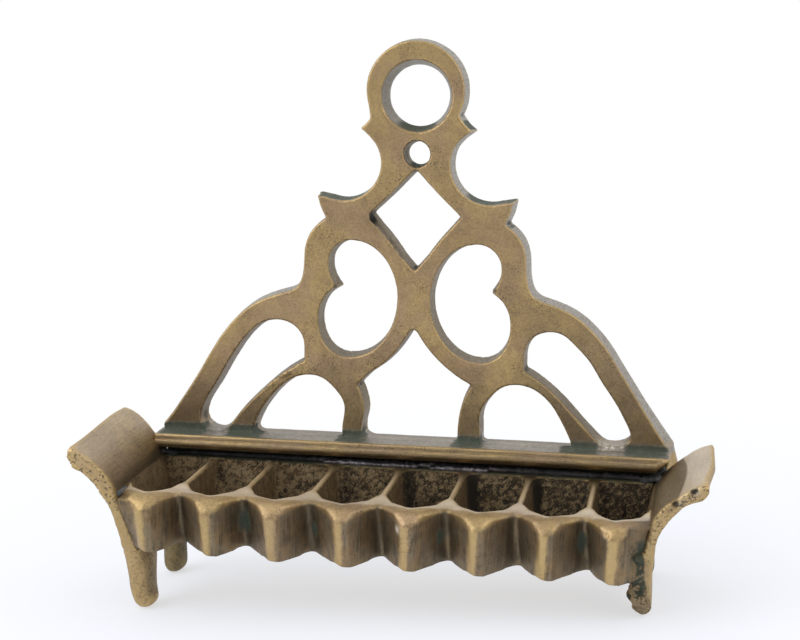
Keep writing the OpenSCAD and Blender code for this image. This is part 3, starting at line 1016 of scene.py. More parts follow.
# %% The two cheeks
LEG_MASS = [
    ((80.2, -45.6, -22.5), (80.0, -44.0, -28.5), 2.2),
    ((80.0, -43.0, -28.0), (80.6, -40.8, -37.0), 2.6),
    ((81.4, -40.2, -36.0), (82.3, -38.6, -41.5), 2.1),
]


def cheek(name, masses=()):
    points, triangles = welded_copy(name)
    solids = [(points, [tuple(face) for face in triangles.tolist()])]
    solids += [bead_run(*mass, uneven=0.3) for mass in masses]
    return Skin(name + "_casting", new_mesh(name, *laid_together(solids)), 0.55)


def legs(skin, widen, deepen, roundness):
    """Makes the legs wider, less deep, and round: each level's side is drawn onto an ellipse."""
    low = soft_step(-skin.points[:, 2], -under_z - 2, -under_z + 8)
    for front in (True, False):
        leg = (skin.points[:, 1] < -25) == front
        leg &= skin.points[:, 2] < under_z - 2
        height = skin.points[leg, 2]
        levels = np.arange(height.min(), under_z - 2.5, 1.5)
        rows = [skin.points[leg & (np.abs(skin.points[:, 2] - level) < 1.5)] for level in levels]
        ends = [(row.min(axis=0), row.max(axis=0)) for row in rows]
        away, halves = [], []
        for axis in (0, 1):
            low_end = np.interp(height, levels, [start[axis] for start, _ in ends])
            high_end = np.interp(height, levels, [stop[axis] for _, stop in ends])
            halves.append((high_end - low_end) / 2)
            away.append(skin.points[leg, axis] - (low_end + high_end) / 2)
        square = np.maximum(np.abs(away[0] / halves[0]), np.abs(away[1] / halves[1]))
        square = np.maximum(square, 0.3)
        circle = np.hypot(away[0] / halves[0], away[1] / halves[1])
        side = 1 - soft_step(np.abs(skin.normals()[leg, 2]), 0.5, 0.85)
        draw = (1 + side * (square ** -0.9 - 1)) * square / np.maximum(circle, 0.001)
        draw = 1 + roundness * (np.clip(draw, 0, 2) - 1)
        for axis, scale in ((0, widen), (1, deepen)):
            skin.points[leg, axis] += away[axis] * (scale * draw - 1) * low[leg]


def round_soles(skin, radius=3.4):
    """Rounds the soles like fingertips."""
    for front in (True, False):
        foot = (skin.points[:, 1] < -25) == front
        height = to_scene(skin.points[foot])[:, 2] / MM
        height -= height.min()
        share = np.clip(height / radius, 0, 1)
        tip = skin.points[foot][height < radius]
        middle = (tip.min(axis=0) + tip.max(axis=0)) / 2
        scale = 0.45 + 0.55 * np.sqrt(1 - (1 - share) ** 2)
        for axis in (0, 1):
            skin.points[foot, axis] = middle[axis] + (skin.points[foot, axis] - middle[axis]) * scale


def reach_ground(skin):
    """Draws the front foot and the rear foot down until they touch the ground again."""
    for front in (True, False):
        foot = (skin.points[:, 1] < -25) == front
        gap = to_scene(skin.points[foot])[:, 2].min() / MM
        skin.points[foot, 2] -= gap * soft_step(under_z - skin.points[foot, 2], 0, 12)


left_cheek = cheek("left_cheek")
right_cheek = cheek("right_cheek", LEG_MASS)
for skin, seed in ((left_cheek, 5), (right_cheek, 6)):
    below = soft_step(-skin.points[:, 2], -rim_z + 4, -rim_z + 14)
    skin.raise_by(0.25 + 0.2 * below)
    skin.melt(0.35 + 0.3 * below, 10)
legs(left_cheek, 1.42, 0.95, 1)
legs(right_cheek, 1.0, 1.0, 0.35)
for skin, seed in ((left_cheek, 5), (right_cheek, 6)):
    leg = soft_step(-skin.points[:, 2], -under_z + 2, -under_z + 9)
    skin.raise_by(0.3 * leg)
    skin.melt(leg, 20)
    round_soles(skin)
    skin.melt(leg, 6)
x, y, z = left_cheek.points.T
low = soft_step(-z, 30, 42)
front_leg = (y < -25).astype(float)
lean_out = -0.6 * soft_step(-z, 26, 36) * (1 - soft_step(-z, 46, 56)) * soft_step(-y, 20, 40)
lean_out += 0.35 * soft_step(-z, 2, 12) * (1 - soft_step(-z, 26, 36)) * soft_step(-y, 20, 40)
left_cheek.points += np.stack([low * (1.4 * front_leg - 0.7) + lean_out, -1.6 * low * front_leg, 0 * z], axis=1)
for skin, seed in ((left_cheek, 5), (right_cheek, 6)):
    reach_ground(skin)
    skin.raise_by(0.07 * skin.grain(14, 2, seed) + 0.03 * skin.grain(1.5, 2, seed + 10))

# %% [markdown]
# The front edges of both cheeks are pitted, and the mass on the right leg is rough all over. The rear corner of
# the left flare is worn quite round.


# %% Wear of the cheeks
def spot(skin, place, radius, reach=(1, 1, 1)):
    """A soft round mask about a place, 1 in its middle."""
    away = (skin.points - np.array(place)) / np.array(reach)
    return np.exp(-np.sum(away * away, axis=1) / (radius * radius))


x, y, z = left_cheek.points.T
left_cheek.points[:, 2] += 2.3 * soft_step(y, -52, -6) * soft_step(-x, 91, 99) * soft_step(z, rim_z, -3)
left_cheek.points[:, 0] += 0.7 * soft_step(-z, 46, 54) * soft_step(-y, 20, 30)
left_cheek.melt(spot(left_cheek, (-101.8, -4.8, 5.4), 6), 30)
x, y, z = right_cheek.points.T
flare = soft_step(z, rim_z - 2, rim_z + 5)
rear_out = 2.4 * soft_step(y, -30, -4) * (1 - soft_step(x, 90, 101))
front_in = 2.2 * soft_step(-y, 24, 50) * soft_step(x, 90, 100)
top_out = 0.9 * soft_step(z, 5, 11) * soft_step(y, -34, -8)
right_cheek.points[:, 0] += flare * (rear_out - front_in + top_out)
right_cheek.melt(spot(right_cheek, (100.8, -4.0, 10.5), 6), 30)
for skin, seed in ((left_cheek, 21), (right_cheek, 22)):
    skin.front_edge = soft_step(-skin.points[:, 1], 47.5, 50.5) * soft_step(skin.points[:, 2], rim_z - 8, rim_z)
    swell = 0.6 if skin is left_cheek else 0.2
    skin.raise_by(swell * skin.front_edge * soft_step(-skin.normals()[:, 2], 0.1, 0.6))
    skin.raise_by(skin.front_edge * -0.3 * np.clip(skin.grain(1.4, 3, seed) - 0.3, 0, 1))
right_cheek.mass = np.zeros(len(right_cheek.points))
for start, end, bead in LEG_MASS:
    away = seam_distance(right_cheek, [start, end])
    right_cheek.mass = np.maximum(right_cheek.mass, 1 - soft_step(away, bead, bead + 2))
right_cheek.melt(right_cheek.mass, 10)
right_cheek.raise_by(right_cheek.mass * (0.35 + 0.6 * right_cheek.grain(1.8, 4, seed=23)))
PITS = [((97.1, -52.8, 2.0), 1.3, -1.2), ((91.7, -52.5, -3.0), 1.2, -1.3), ((90.0, -52.5, -4.6), 0.9, -0.7)]
for place, radius, height in PITS:
    dab(right_cheek, place, radius, height)
reach_ground(right_cheek)

# %% [markdown]
# ## Solder
# A long run lies under the rail, where the plate meets the rim. More was fed in at both ends of the rail, and
# small lumps sit where the rim meets the cheeks.

# %% The three runs
solder_leg = 2.2
floor_z = under_z + floor_t
end_slope = cheek_lean / trough_h


def end_place(side, y, z, inward):
    """A place on a cheek's inner face, moved inwards along the row."""
    return (-trough_shift + side * (trough_half - (rim_z - z) * end_slope - inward), y, z)


def lumps(*runs):
    """Several runs of beads, each a start, an end and a bead's radius."""
    return laid_together([bead_run(*run) for run in runs])


rear_z = rim_z + 0.9
rear_run = lumps(
    ((row_left + 6, -0.5, rear_z - 0.3), (-34, -0.6, rear_z - 0.2), 0.8, 0.3),
    ((-36, -0.9, rear_z), (row_right - 6, -0.9, rear_z), 1.15, 0.3),
    ((-30, -2.0, rim_z + 0.5), (2, -2.0, rim_z + 0.5), 0.9, 0.4),
    ((8, -2.1, rim_z + 0.5), (27, -1.9, rim_z + 0.5), 1.0, 0.45),
    ((row_left + 0.4, 0.6, rim_z + 5.4), (row_left + 2.6, 0.2, rim_z + 0.2), 1.9, 0.2),
    ((row_left + 0.2, 4.6, rim_z + 4.8), (row_left + 1.6, 4.8, rim_z + 0.4), 2.0, 0.2),
    ((row_left - 0.2, -3.0, rim_z + 1.4), (row_left + 3.4, -1.6, rim_z + 0.2), 1.5, 0.2),
    ((row_right + 1.6, 0.4, rim_z + 4.4), (row_right - 0.6, 0.2, rim_z + 0.6), 1.8, 0.2),
    ((row_right + 2.0, 4.8, rim_z + 4.0), (row_right - 0.4, 4.8, rim_z + 0.6), 1.9, 0.2),
    ((row_right + 1.2, -3.4, rim_z + 1.6), (row_right - 3.4, -1.8, rim_z + 0.3), 1.6, 0.25),
)
solders = [Skin("rear_solder_run", new_mesh("rear_solder_run", *rear_run), 0.4)]
for side, name in ((-1, "left_solder"), (1, "right_solder")):
    foot = [end_place(side, y, floor_z + 0.9, 0.9) for y in (-rear_wall_t - 1, -32.2)]
    post = [end_place(side, -32.0, z, 0.6) for z in (floor_z + 0.8, rim_z - 6.0)]
    rim_corner = [end_place(side, y, rim_z - 0.9, 0.5) for y in (-42.5, -48.5)]
    runs = [(*foot, 1.0), (*post, 0.8)]
    if side < 0:
        runs.append((*rim_corner, 1.05, 0.12))
    solders.append(Skin(name + "_run", new_mesh(name + "_run", *lumps(*runs)), 0.3))
for skin in solders:
    skin.smooth(3)
    skin.raise_by(0.1 * skin.grain(1.2, 3, seed=8))

# %% [markdown]
# ## What the skins know about themselves
# Wear, dirt and painted light follow the shape: edges are rubbed bright and get a painted highlight, corners and wells
# keep dirt and painted shade. Each skin therefore measures itself, and stores what it finds as attributes that the
# materials read: how far a point stands out of its surroundings, how deep it lies in a corner, how sooty or green it
# is, and where painted shade and sheen lie.


# %% Marks stored on a skin
def store(skin, marks):
    for name, values in marks.items():
        attribute = skin.mesh.attributes.new(name, "FLOAT", "POINT")
        attribute.data.foreach_set("value", np.ascontiguousarray(values, dtype=np.float32))


def shape_marks(skin):
    """How much each point is an edge, and how much it is a corner."""
    fine = skin.softened(skin.bend(4, 0.16), 1)
    wide = skin.softened(skin.bend(45, 0.9), 3)
    names = ("grey", "across", "down", "along", "dim", "soot", "green", "pale", "crust", "side", "pitted")
    marks = {name: np.zeros(len(skin.points)) for name in names}
    # The convex marks make edges gold: worn metal and a painted highlight. The hollow mark darkens corners: dirt and
    # painted shade.
    return {"edge": np.clip(fine, 0, 1), "rubbed": np.clip(wide, 0, 1), "hollow": np.clip(-wide, 0, 1), **marks}


def place_skin(skin, material, body, node):
    """Puts a skin into the scene as a finished piece that stands for a CAD node."""
    low, high = (np.array(corner) for corner in (cad_low, cad_high))
    seen = np.clip(to_scene(skin.points), low, high)
    skin.mesh.vertices.foreach_set("co", seen.reshape(-1))
    skin.mesh.update()
    skin.mesh.polygons.foreach_set("use_smooth", [True] * len(skin.mesh.polygons))
    skin.mesh.materials.clear()
    skin.mesh.materials.append(material)
    piece = bpy.data.objects.new(skin.name, skin.mesh)
    bpy.context.collection.objects.link(piece)
    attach(piece, body)
    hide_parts(node)
    return piece


# %% Marks of the plate
from mathutils.kdtree import KDTree

x, y, z = plate.points.T
marks = shape_marks(plate)
tree = KDTree(sum(len(outline) for outline in outlines))
for number, outline in enumerate(outlines):
    for place in outline:
        tree.insert((place[0], place[1], 0), number)
tree.balance()
inner = np.array([tree.find((px, pz, 0))[1] > 0 for px, pz in zip(x, z)], dtype=float)
upward = plate.normals()[:, 2]
side_wall = soft_step(y, 0.35, 1.2) * (1 - soft_step(y, 7.6, 8.3)) * soft_step(z, ledge_z + 0.5, 3)
under_rail = soft_step(-z, 5.9, 7.2) * (1 - soft_step(y, 7.0, 8.0))
groove = np.exp(-(((z - ledge_z + 1.65) / 0.45) ** 2)) * soft_step(-y, 5.0, 6.0)
shoulders = side_wall * soft_step(upward, 0.6, 0.9) * soft_step(z, 62, 74) * (1 - soft_step(z, 108, 114))
fault = np.exp(-((seam_distance(plate, BROKEN_EDGE) / 1.3) ** 2)) * soft_step(y, 0.3, 1.4)
level = z + sag(x)
from_ledge = soft_step(level, ledge_z - 0.7, ledge_z - 0.2)
on_ledge = from_ledge * (1 - soft_step(level, -0.4, 0.8)) * soft_step(y, -6.1, -5.4)
above_ledge = from_ledge * (1 - soft_step(level, 0.4, 2.4)) * soft_step(y, -1.5, -0.5)
left_end = 1 - soft_step(x, -66, -42)
in_ring = soft_step(z, RING_HOLE.z - 11, RING_HOLE.z - 9)
arms_x = np.sort(x[(z > 2.5) & (z < 4.5) & (y < 2)])
place = np.clip(np.searchsorted(arms_x, x), 1, len(arms_x) - 1)
to_arm = np.minimum(np.abs(x - arms_x[place - 1]), np.abs(x - arms_x[place]))
near_arm = 1 - soft_step(to_arm + 0.8 * plate.grain(2.5, 3, seed=35), 0.3, 3.0)
# Opening walls and the ledge are painted grey: filed metal and a painted sheen. Inner walls get less of it, as painted
# shade.
marks["grey"] = np.maximum(side_wall * (1 - 0.55 * inner * (1 - in_ring)), 0.9 * on_ledge)
marks["grey"] = np.maximum(marks["grey"], 0.7 * above_ledge)
marks["across"] = side_wall
rail_front = soft_step(-y, 5.4, 6.4)
marks["along"] = rail_front
# Painted shade on the plate: the openings' inner walls, the lower half of the rail's round front and the ring's left
# inner wall. The face is also darker towards its bottom edge, and the ledge is darker too.
face_z = 26 + 40 * soft_step(x, 30, 50)
foot_dim = 0.75 * (1 - soft_step(z / face_z, 0.1, 1)) * (1 - soft_step(y, 0.2, 0.8)) * soft_step(y, -1, -0.5)
rail_dim = 0.6 * rail_front * (1 - soft_step(level, -5.6, -3.4))
marks["dim"] = np.maximum(side_wall * inner * (1 - 0.7 * in_ring), np.maximum(foot_dim, rail_dim))
ring_left = side_wall * inner * in_ring * soft_step(plate.normals()[:, 0], 0.2, 0.9)
marks["dim"] = np.maximum(marks["dim"], np.maximum(0.45 * on_ledge, 0.6 * ring_left))
marks["edge"] = marks["edge"] * (1 - on_ledge)
marks["hollow"] = marks["hollow"] * (1 - on_ledge)
ring_floor = side_wall * in_ring * soft_step(upward, 0.5, 0.95) * inner
ring_shoulder = side_wall * soft_step(upward, 0.2, 0.6) * (1 - inner)
ring_shoulder *= soft_step(z, RING_HOLE.z - 15, RING_HOLE.z - 13) * (1 - soft_step(z, RING_HOLE.z - 8.5, RING_HOLE.z - 7))
shoulders = np.maximum(shoulders, np.maximum(0.8 * ring_floor, ring_shoulder))
low_part = np.maximum(on_ledge, above_ledge) * (1 - soft_step(y, 4, 6))
at_foot = low_part * near_arm
underside = 0.55 * under_rail + 0.8 * shoulders
marks["green"] = np.clip(at_foot * 0.46 + low_part * (0.30 + 0.22 * left_end) + underside, 0, 1)
notch = spot(plate, (-14.2, 2.0, 75.6), 2.4)
# Painted shadow under the rail and in the rail's groove, kept with the real dark of the broken edge and the notch.
marks["soot"] = np.clip(under_rail * soft_step(-z, 6.8, 7.6) + 0.3 * groove + 0.25 * fault + notch, 0, 1)
# Wide convex places keep only a faint worn gold with a painted highlight.
marks["rubbed"] = marks["rubbed"] * 0.15
fluff = spot(plate, (68.9, 0.5, 0.2), 2.6) + spot(plate, (65.5, 0.3, 2.2), 1.8) * 0.8
flecks = np.clip(2.5 * plate.grain(0.9, 2, seed=36) - 0.7, 0, 1) * low_part
marks["pale"] = fluff * (0.5 + plate.grain(0.9, 2, seed=33)) + 0.45 * flecks
marks["pitted"] = np.exp(-((seam_distance(plate, ARCH_SEAM) / 1.2) ** 2)) * 0.8
store(plate, marks)

# %% Marks of the trough
x, y, z = trough.points.T
marks = shape_marks(trough)
band_edge = valley + 0.04 * trough.grain(3.5, 3, seed=41)
below_rim = 1 - soft_step(z + 2.5 * band_edge, rim_z - 2.2, rim_z - 0.9)
left_corner = (1 - soft_step(x, row_place(0) - 3.4, row_place(0) - 2.6)) * soft_step(-y, 38, 42)
right_corner = soft_step(x, row_place(7) + 3.4, row_place(7) + 4.4) * soft_step(-y, 38, 42)
below_corner = 1 - soft_step(z - 1.3 * right_corner, rim_z - 2.4, rim_z - 1.2)
marks["hollow"] = marks["hollow"] * (1 - 0.8 * trough.outside) * (1 - soft_step(z, rim_z - 2, rim_z - 1))
marks["down"] = trough.outside * below_rim * (1 - soft_step(band_edge, 0.79, 0.87))
marks["down"] = np.maximum(marks["down"], below_corner * np.maximum(left_corner, right_corner))
# Painted shade on the front: facets darken away from their tips, the valleys most, and the end corners below the rim.
dimness = band_edge + 0.22 * trough.grain(6, 2, seed=42)
marks["dim"] = trough.outside * below_rim * (1 - soft_step(dimness, 0.0, 0.6)) * (0.45 + 0.25 * soft_step(x, -75, -55))
marks["dim"] += 0.8 * trough.outside * below_rim * (1 - soft_step(valley, 0.03, 0.12))
marks["dim"] = np.maximum(marks["dim"], below_corner * (0.35 * left_corner + 0.45 * right_corner))
# The rounded tops of the tips turn gold: worn metal and a painted highlight.
marks["rubbed"] = (0.45 + 0.35 * soft_step(x, -40, 10)) * trough.outside * below_rim * soft_step(band_edge, 0.82, 0.92)
marks["edge"] = marks["edge"] * (1 - trough.outside * (0.75 + 0.25 * (1 - soft_step(z, under_z + 1.5, under_z + 4))))

marks["side"] = smooth_sides * soft_step(-y, 6, 8)
# Painted shadow in the gap between the rail and the wells' rear rim, stored with the wells' soot.
behind_wells = soft_step(-y, 1.0, 1.6) * (1 - soft_step(-y, 4, 6)) * soft_step(z, rim_z - 3, rim_z - 2)
behind_wells = behind_wells * (1 - soft_step(x, -45, -25))
marks["soot"] = np.maximum(trough.inside, behind_wells)
CORNER_SOOT = [(row_place(4), 0.6), (row_place(5), 1.0), (row_place(6), 1.0), (row_place(3), 0.3)]
sooty = np.zeros(len(x))
for place, share in CORNER_SOOT:
    away = np.hypot(x - place + well_pitch / 2 - 3.0, (y + 5) * 0.7)
    sooty = np.maximum(sooty, share * (1 - soft_step(away, 1.6, 3.2)))
VERDIGRIS = [
    ((-46.8, -43.5, -20.5), 4.0),
    ((-23.8, -43.0, -22.0), 2.5),
    ((63.0, -43.0, -20.0), 3.0),
    ((18.0, -44.0, -21.0), 2.6),
]
green = soft_step(-y, -0.2, 0.8) * (1 - soft_step(-y, 2.4, 4.2)) * soft_step(z, rim_z - 1.5, rim_z - 0.4)
for place, radius in VERDIGRIS:
    green = np.maximum(green, spot(trough, place, radius, (0.7, 1, 1.6)))
marks["green"] = green
# The rim's up-facing flat tops are painted paler: worn metal and painted light from above. A pale chip marks the crack.
flat = soft_step(z, rim_z - 1.6, rim_z - 0.6) * soft_step(trough.normals()[:, 2], 0.7, 0.93)
rim_line = tip_out - zigzag_depth * (1 - valley) - 0.8 - 6.2 * valley
marks["pale"] = (0.6 + 0.2 * soft_step(x, -30, 30)) * flat * soft_step(-y, 4, 14) * (1 - soft_step(-y - rim_line, -0.5, 0.5))
marks["pale"] = np.maximum(marks["pale"], 1.4 * spot(trough, (5.3, -52.5, -16.4), 1.3))
marks["crust"] = np.clip(trough.crust + 0.14 - 0.26 * x / trough_half, 0.02, 1) * (1 - sooty)
far_corner = soft_step(x + 1.2 * trough.grain(3, 3, seed=43), row_place(7) + 5.5, row_place(7) + 8)
marks["green"] = np.maximum(marks["green"], 0.8 * right_corner * far_corner * soft_step(-z, 12, 19))
# A painted shade spot in the recess where the trough's bottom meets the left leg.
marks["soot"] = np.maximum(marks["soot"], spot(trough, (-82.5, -50.0, under_z + 1.0), 1.6))
store(trough, marks)

# %% Marks of the cheeks and the solder
for skin in (left_cheek, right_cheek):
    x, y, z = skin.points.T
    marks = shape_marks(skin)
    normals = skin.normals()
    inward = normals[:, 0] * (1 if skin is left_cheek else -1)
    flare = soft_step(z, rim_z + 1, rim_z + 4) * soft_step(inward, -0.2, 0.4)
    in_well = soft_step(inward, 0.2, 0.6) * (1 - soft_step(z, rim_z - 0.6, rim_z + 0.2)) * soft_step(y, -44, -42)
    in_well *= soft_step(z, under_z - 1, under_z + 1)
    marks["across"] = flare
    above_leg = soft_step(z, under_z - 6, under_z + 2)
    marks["down"] = (1 - skin.front_edge) * 0.45 * (1 - flare) * (0.6 + 0.4 * above_leg)
    beside_well = soft_step(z, under_z - 4, under_z + 4) * (1 - soft_step(z, rim_z + 2, rim_z + 9))
    # Faces turned towards the row get painted shade, most beside the well.
    marks["dim"] = soft_step(inward, 0.2, 0.7) * (beside_well * 0.7 + 0.15) * (1 - in_well) * (1 - flare * 0.2)
    marks["side"] = in_well
    marks["crust"] = in_well
    marks["edge"] = marks["edge"] * 0.6
    front = soft_step(-normals[:, 1], 0.3, 0.8) * soft_step(z, -24, -12)
    marks["pitted"] = np.maximum(front, 0.3 * (1 - above_leg))
    # Painted shade on the rear legs and on the legs' inner sides; the rear legs also get some green and the soot mark.
    rear_leg = soft_step(y, -30, -20) * (1 - above_leg)
    leg_side = 0.75 * soft_step(inward, 0.45, 0.9) * (1 - above_leg)
    marks["dim"] = np.maximum(marks["dim"], np.maximum(in_well * 0.5, np.maximum(rear_leg, leg_side)))
    marks["green"] = 0.52 * rear_leg
    marks["soot"] = np.maximum(in_well, 0.42 * rear_leg)
    if skin is left_cheek:
        # The upper flare of the left cheek gets a painted sheen.
        marks["pale"] = flare * soft_step(z, rim_z + 6, rim_z + 13) * 0.28
    else:
        # The right flare is split along a curve: its outer part gets a painted sheen, its inner part a dark painted
        # reflection of the wells. Its front faces are darkened too.
        outer_part = soft_step(x - 93.4 - 1.8 * (1 - ((y + 24) / 24) ** 2), -0.3, 0.3)
        marks["pale"] = flare * outer_part * 0.62
        marks["dim"] = np.maximum(marks["dim"], flare * (1 - outer_part) * 0.85)
        marks["dim"] = np.maximum(marks["dim"], 0.45 * front)
        mossy = skin.mass * soft_step(skin.grain(3, 3, seed=31) + (z + 33) * 0.05, -0.15, 0.3)
        marks["green"] = np.maximum(marks["green"], mossy)
        marks["down"] = marks["down"] * (1 - skin.mass)
        marks["soot"] = np.maximum(marks["soot"], skin.mass * 0.75)
        marks["crust"] = np.maximum(marks["crust"], skin.mass)
        for place, radius, _ in PITS[:2]:
            marks["soot"] = np.maximum(marks["soot"], 1.3 * spot(skin, place, radius))
    store(skin, marks)
for skin in solders:
    x, y, z = skin.points.T
    marks = shape_marks(skin)
    # The solder near both cheeks and the front corner lump is darkened: soot and painted shade.
    marks["soot"] = np.maximum(1 - soft_step(x, -38, -28), 0.8 * soft_step(x, 30, 40)) * soft_step(y, -12, -9)
    marks["soot"] = np.maximum(marks["soot"], 0.35 * soft_step(-y, 38, 40))
    marks["pale"] = soft_step(-y, 1.7, 2.5) * soft_step(x, -32, -28) * (1 - soft_step(x, 27, 30))
    store(skin, marks)

# %% [markdown]
# ## Worn brass
# Old brass is a bright metal under a thin brown skin. Rubbed places are golden, with a painted highlight on edges; flat
# places are tan with darker clouds; corners are nearly black from dirt and painted shade, and green in places. All of
# it is one material: its colour starts as a cloud of two tans, and each mark of the skin then lays its own colour over
# it, painted shade and sheen among them. File marks and pits change the surface's direction too.

# %% The brass
# Colour roles: GOLD is worn metal and painted highlight, WALL_GREY filed metal and painted sheen, PALE dust and painted
# sheen, DIM file streaks and painted shade, DARK pits and painted corner shade, the soot colour soot and painted
# shadow.
GOLD = (0.62, 0.45, 0.21, 1)
YELLOW = (0.52, 0.375, 0.175, 1)
PINK = (0.45, 0.315, 0.195, 1)
BROWN = (0.27, 0.195, 0.115, 1)
WALL_GREY = (0.375, 0.36, 0.335, 1)
FACET = (0.240, 0.192, 0.132, 1)
RUSTY = (0.285, 0.200, 0.115, 1)
DIM = (0.105, 0.086, 0.058, 1)
DARK = (0.030, 0.027, 0.021, 1)
GREEN = (0.036, 0.056, 0.034, 1)
SOOT_AND_SHADE = (0.026, 0.020, 0.013, 1)
SIDE_BROWN = (0.120, 0.074, 0.030, 1)
CRUST = (0.45, 0.33, 0.18, 1)
PALE = (0.84, 0.77, 0.66, 1)


def upright_place(net):
    """Where a point lies on the lamp, along the lamp's own upright axes."""
    here = net.add("ShaderNodeTexCoord", None, None, out="Object")
    return net.add("ShaderNodeMapping", {"vector_type": "POINT"}, {"Vector": here, "Rotation": (0, -lean, 0)})


def cloud(net, place, grain_mm, detail=4, roughness=0.55, stretch=(1, 1, 1)):
    """Noise whose grains have a size in millimetres."""
    spread = net.add("ShaderNodeMapping", {"vector_type": "POINT"}, {"Vector": place, "Scale": stretch})
    links = {"Vector": spread, "Scale": 1 / (grain_mm * MM), "Detail": detail, "Roughness": roughness}
    return net.add("ShaderNodeTexNoise", None, links)


def mark(net, name):
    return net.add("ShaderNodeAttribute", {"attribute_name": name}, None, out="Fac")


def finish_material(net, colour, metallic, roughness, bump_height, bump_depth):
    bump = net.add("ShaderNodeBump", None, {"Height": bump_height, "Distance": bump_depth * MM, "Strength": 1.0})
    links = {"Base Color": colour, "Metallic": metallic, "Roughness": roughness, "Normal": bump}
    surface = net.add("ShaderNodeBsdfPrincipled", None, links)
    output = net.tree.nodes.new("ShaderNodeOutputMaterial")
    net.join(output.inputs["Surface"], surface)


def empty_net(material):
    material.use_nodes = True
    material.node_tree.nodes.clear()
    return Net(material.node_tree)


def paint_brass(material):
    net = empty_net(material)
    place = upright_place(net)
    clouds = cloud(net, place, 15, 5)
    small = cloud(net, place, 3.0, 5, 0.65)
    fine = cloud(net, place, 0.8, 3, 0.6)
    drawn_down = cloud(net, place, 0.8, 5, 0.66, (1, 1, 0.05))
    drawn_across = cloud(net, place, 0.4, 3, 0.6, (1, 0.05, 1))
    drawn_along = cloud(net, place, 0.45, 4, 0.6, (0.04, 1, 1))
    granules = cloud(net, place, 0.5, 4, 0.7)
    patches = cloud(net, place, 4, 3, 0.6)
    freckled = cloud(net, place, 10, 3).step(0.48, 0.66)
    specks = cloud(net, place, 0.5, 2).step(0.60, 0.68) * freckled
    smears = cloud(net, place, 2.2, 4, 0.7).step(0.52, 0.70) * cloud(net, place, 16, 2).step(0.45, 0.65)
    names = ("edge", "rubbed", "hollow", "grey", "across", "down", "along", "dim", "soot", "green", "pale", "crust")
    edge, rubbed, hollow, grey, across, down, along, dim, soot, green, pale, crust = (mark(net, n) for n in names)
    side, pitted = mark(net, "side"), mark(net, "pitted")
    # Edges and rubbed places, mixed to gold below: worn metal and a painted highlight.
    edge = (edge * (clouds * 1.3 + small * 0.7 - 0.25)).step(0.2, 0.75)
    rubbed = (rubbed * (0.6 + small * 0.8)).step(0.1, 0.7)
    # Hollows, darkened below: dirt and painted shade.
    corner = (hollow * (0.5 + small)).step(0.12, 0.55)
    green = (green * (0.45 + small * 0.9 + fine * 0.2)).step(0.38, 0.8)
    soot = soot.step(0.25, 0.7)
    pits = specks.most(pitted * (cloud(net, place, 0.8, 2, 0.5) * 0.7 + small * 0.3).step(0.55, 0.60)).held()
    dull = clouds.step(0.36, 0.66) * 0.4 + small.step(0.38, 0.68) * 0.25 + fine.step(0.40, 0.62) * 0.35
    colour = net.mix(cloud(net, place, 22, 3).step(0.42, 0.6) * 0.8, YELLOW, PINK)
    colour = net.mix(dull.held() * 0.85, colour, BROWN)
    colour = net.mix(smears * 0.45, colour, FACET)
    # Walls turn grey: filed metal with a painted sheen.
    colour = net.mix(grey * 0.9, colour, WALL_GREY)
    warmer = cloud(net, place, 5, 3, 0.6, (1, 1, 0.5)).step(0.46, 0.62)
    colour = net.mix(down * 0.85, colour, net.mix(warmer, FACET, RUSTY))
    streaks = (drawn_down * 0.7 + small * 0.3).step(0.44, 0.60) * patches.step(0.3, 0.6)
    colour = net.mix(down * streaks * 0.7, colour, DIM)
    colour = net.mix(across * drawn_across.step(0.45, 0.6) * 0.32, colour, DIM)
    colour = net.mix(along * drawn_along.step(0.42, 0.60) * 0.65, colour, FACET)
    # The dim mark lays painted shade.
    colour = net.mix((dim * (0.55 + drawn_down * 0.5)).held() * 0.8, colour, DIM)
    # Pale dust, and a painted sheen on the rim and the flares.
    colour = net.mix((pale * (0.75 + small * 0.3)).held() * 0.85, colour, PALE)
    colour = net.mix((rubbed * 0.6).most(edge * 0.45), colour, GOLD)
    # Corners darken: dirt and painted shade.
    colour = net.mix(corner * 0.8, colour, DARK)
    # Soot in the wells, and painted shadow under the rail.
    colour = net.mix(soot * 0.95, colour, SOOT_AND_SHADE)
    grains = (granules * 0.7 + patches * 0.12 + crust * 0.2).step(0.46, 0.57)
    browner = (patches * 0.55 + fine * 0.45).step(0.46, 0.62)
    colour = net.mix(soot * crust.step(0, 0.2) * grains * (0.55 + crust * 0.4), colour, net.mix(browner, CRUST, SIDE_BROWN))
    streaked = 0.62 + drawn_down.step(0.4, 0.6) * 0.3
    colour = net.mix(side * soot * streaked, colour, SIDE_BROWN)
    colour = net.mix(green * 0.85, colour, GREEN)
    colour = net.mix(pits * 0.7, colour, DARK)
    # Dirt and painted shade also make the metal duller and rougher.
    dirt_and_shade = (corner * 0.6).most(green).most(soot * 0.8).most(pits).held()
    rough = (0.43 + dull * 0.16 + down * 0.06 + dirt_and_shade * 0.3 + pale * 0.1).held()
    lines = drawn_down * down * 0.5 + drawn_across * across * 0.6 + drawn_along * along * 0.5
    height = fine * 0.3 + small * 0.4 + lines - pits * 1.2 + granules * soot * (1 - side * 0.8) * 5
    finish_material(net, colour, (1 - dirt_and_shade * 0.85).held(), rough, height, 0.16)


paint_brass(brass)


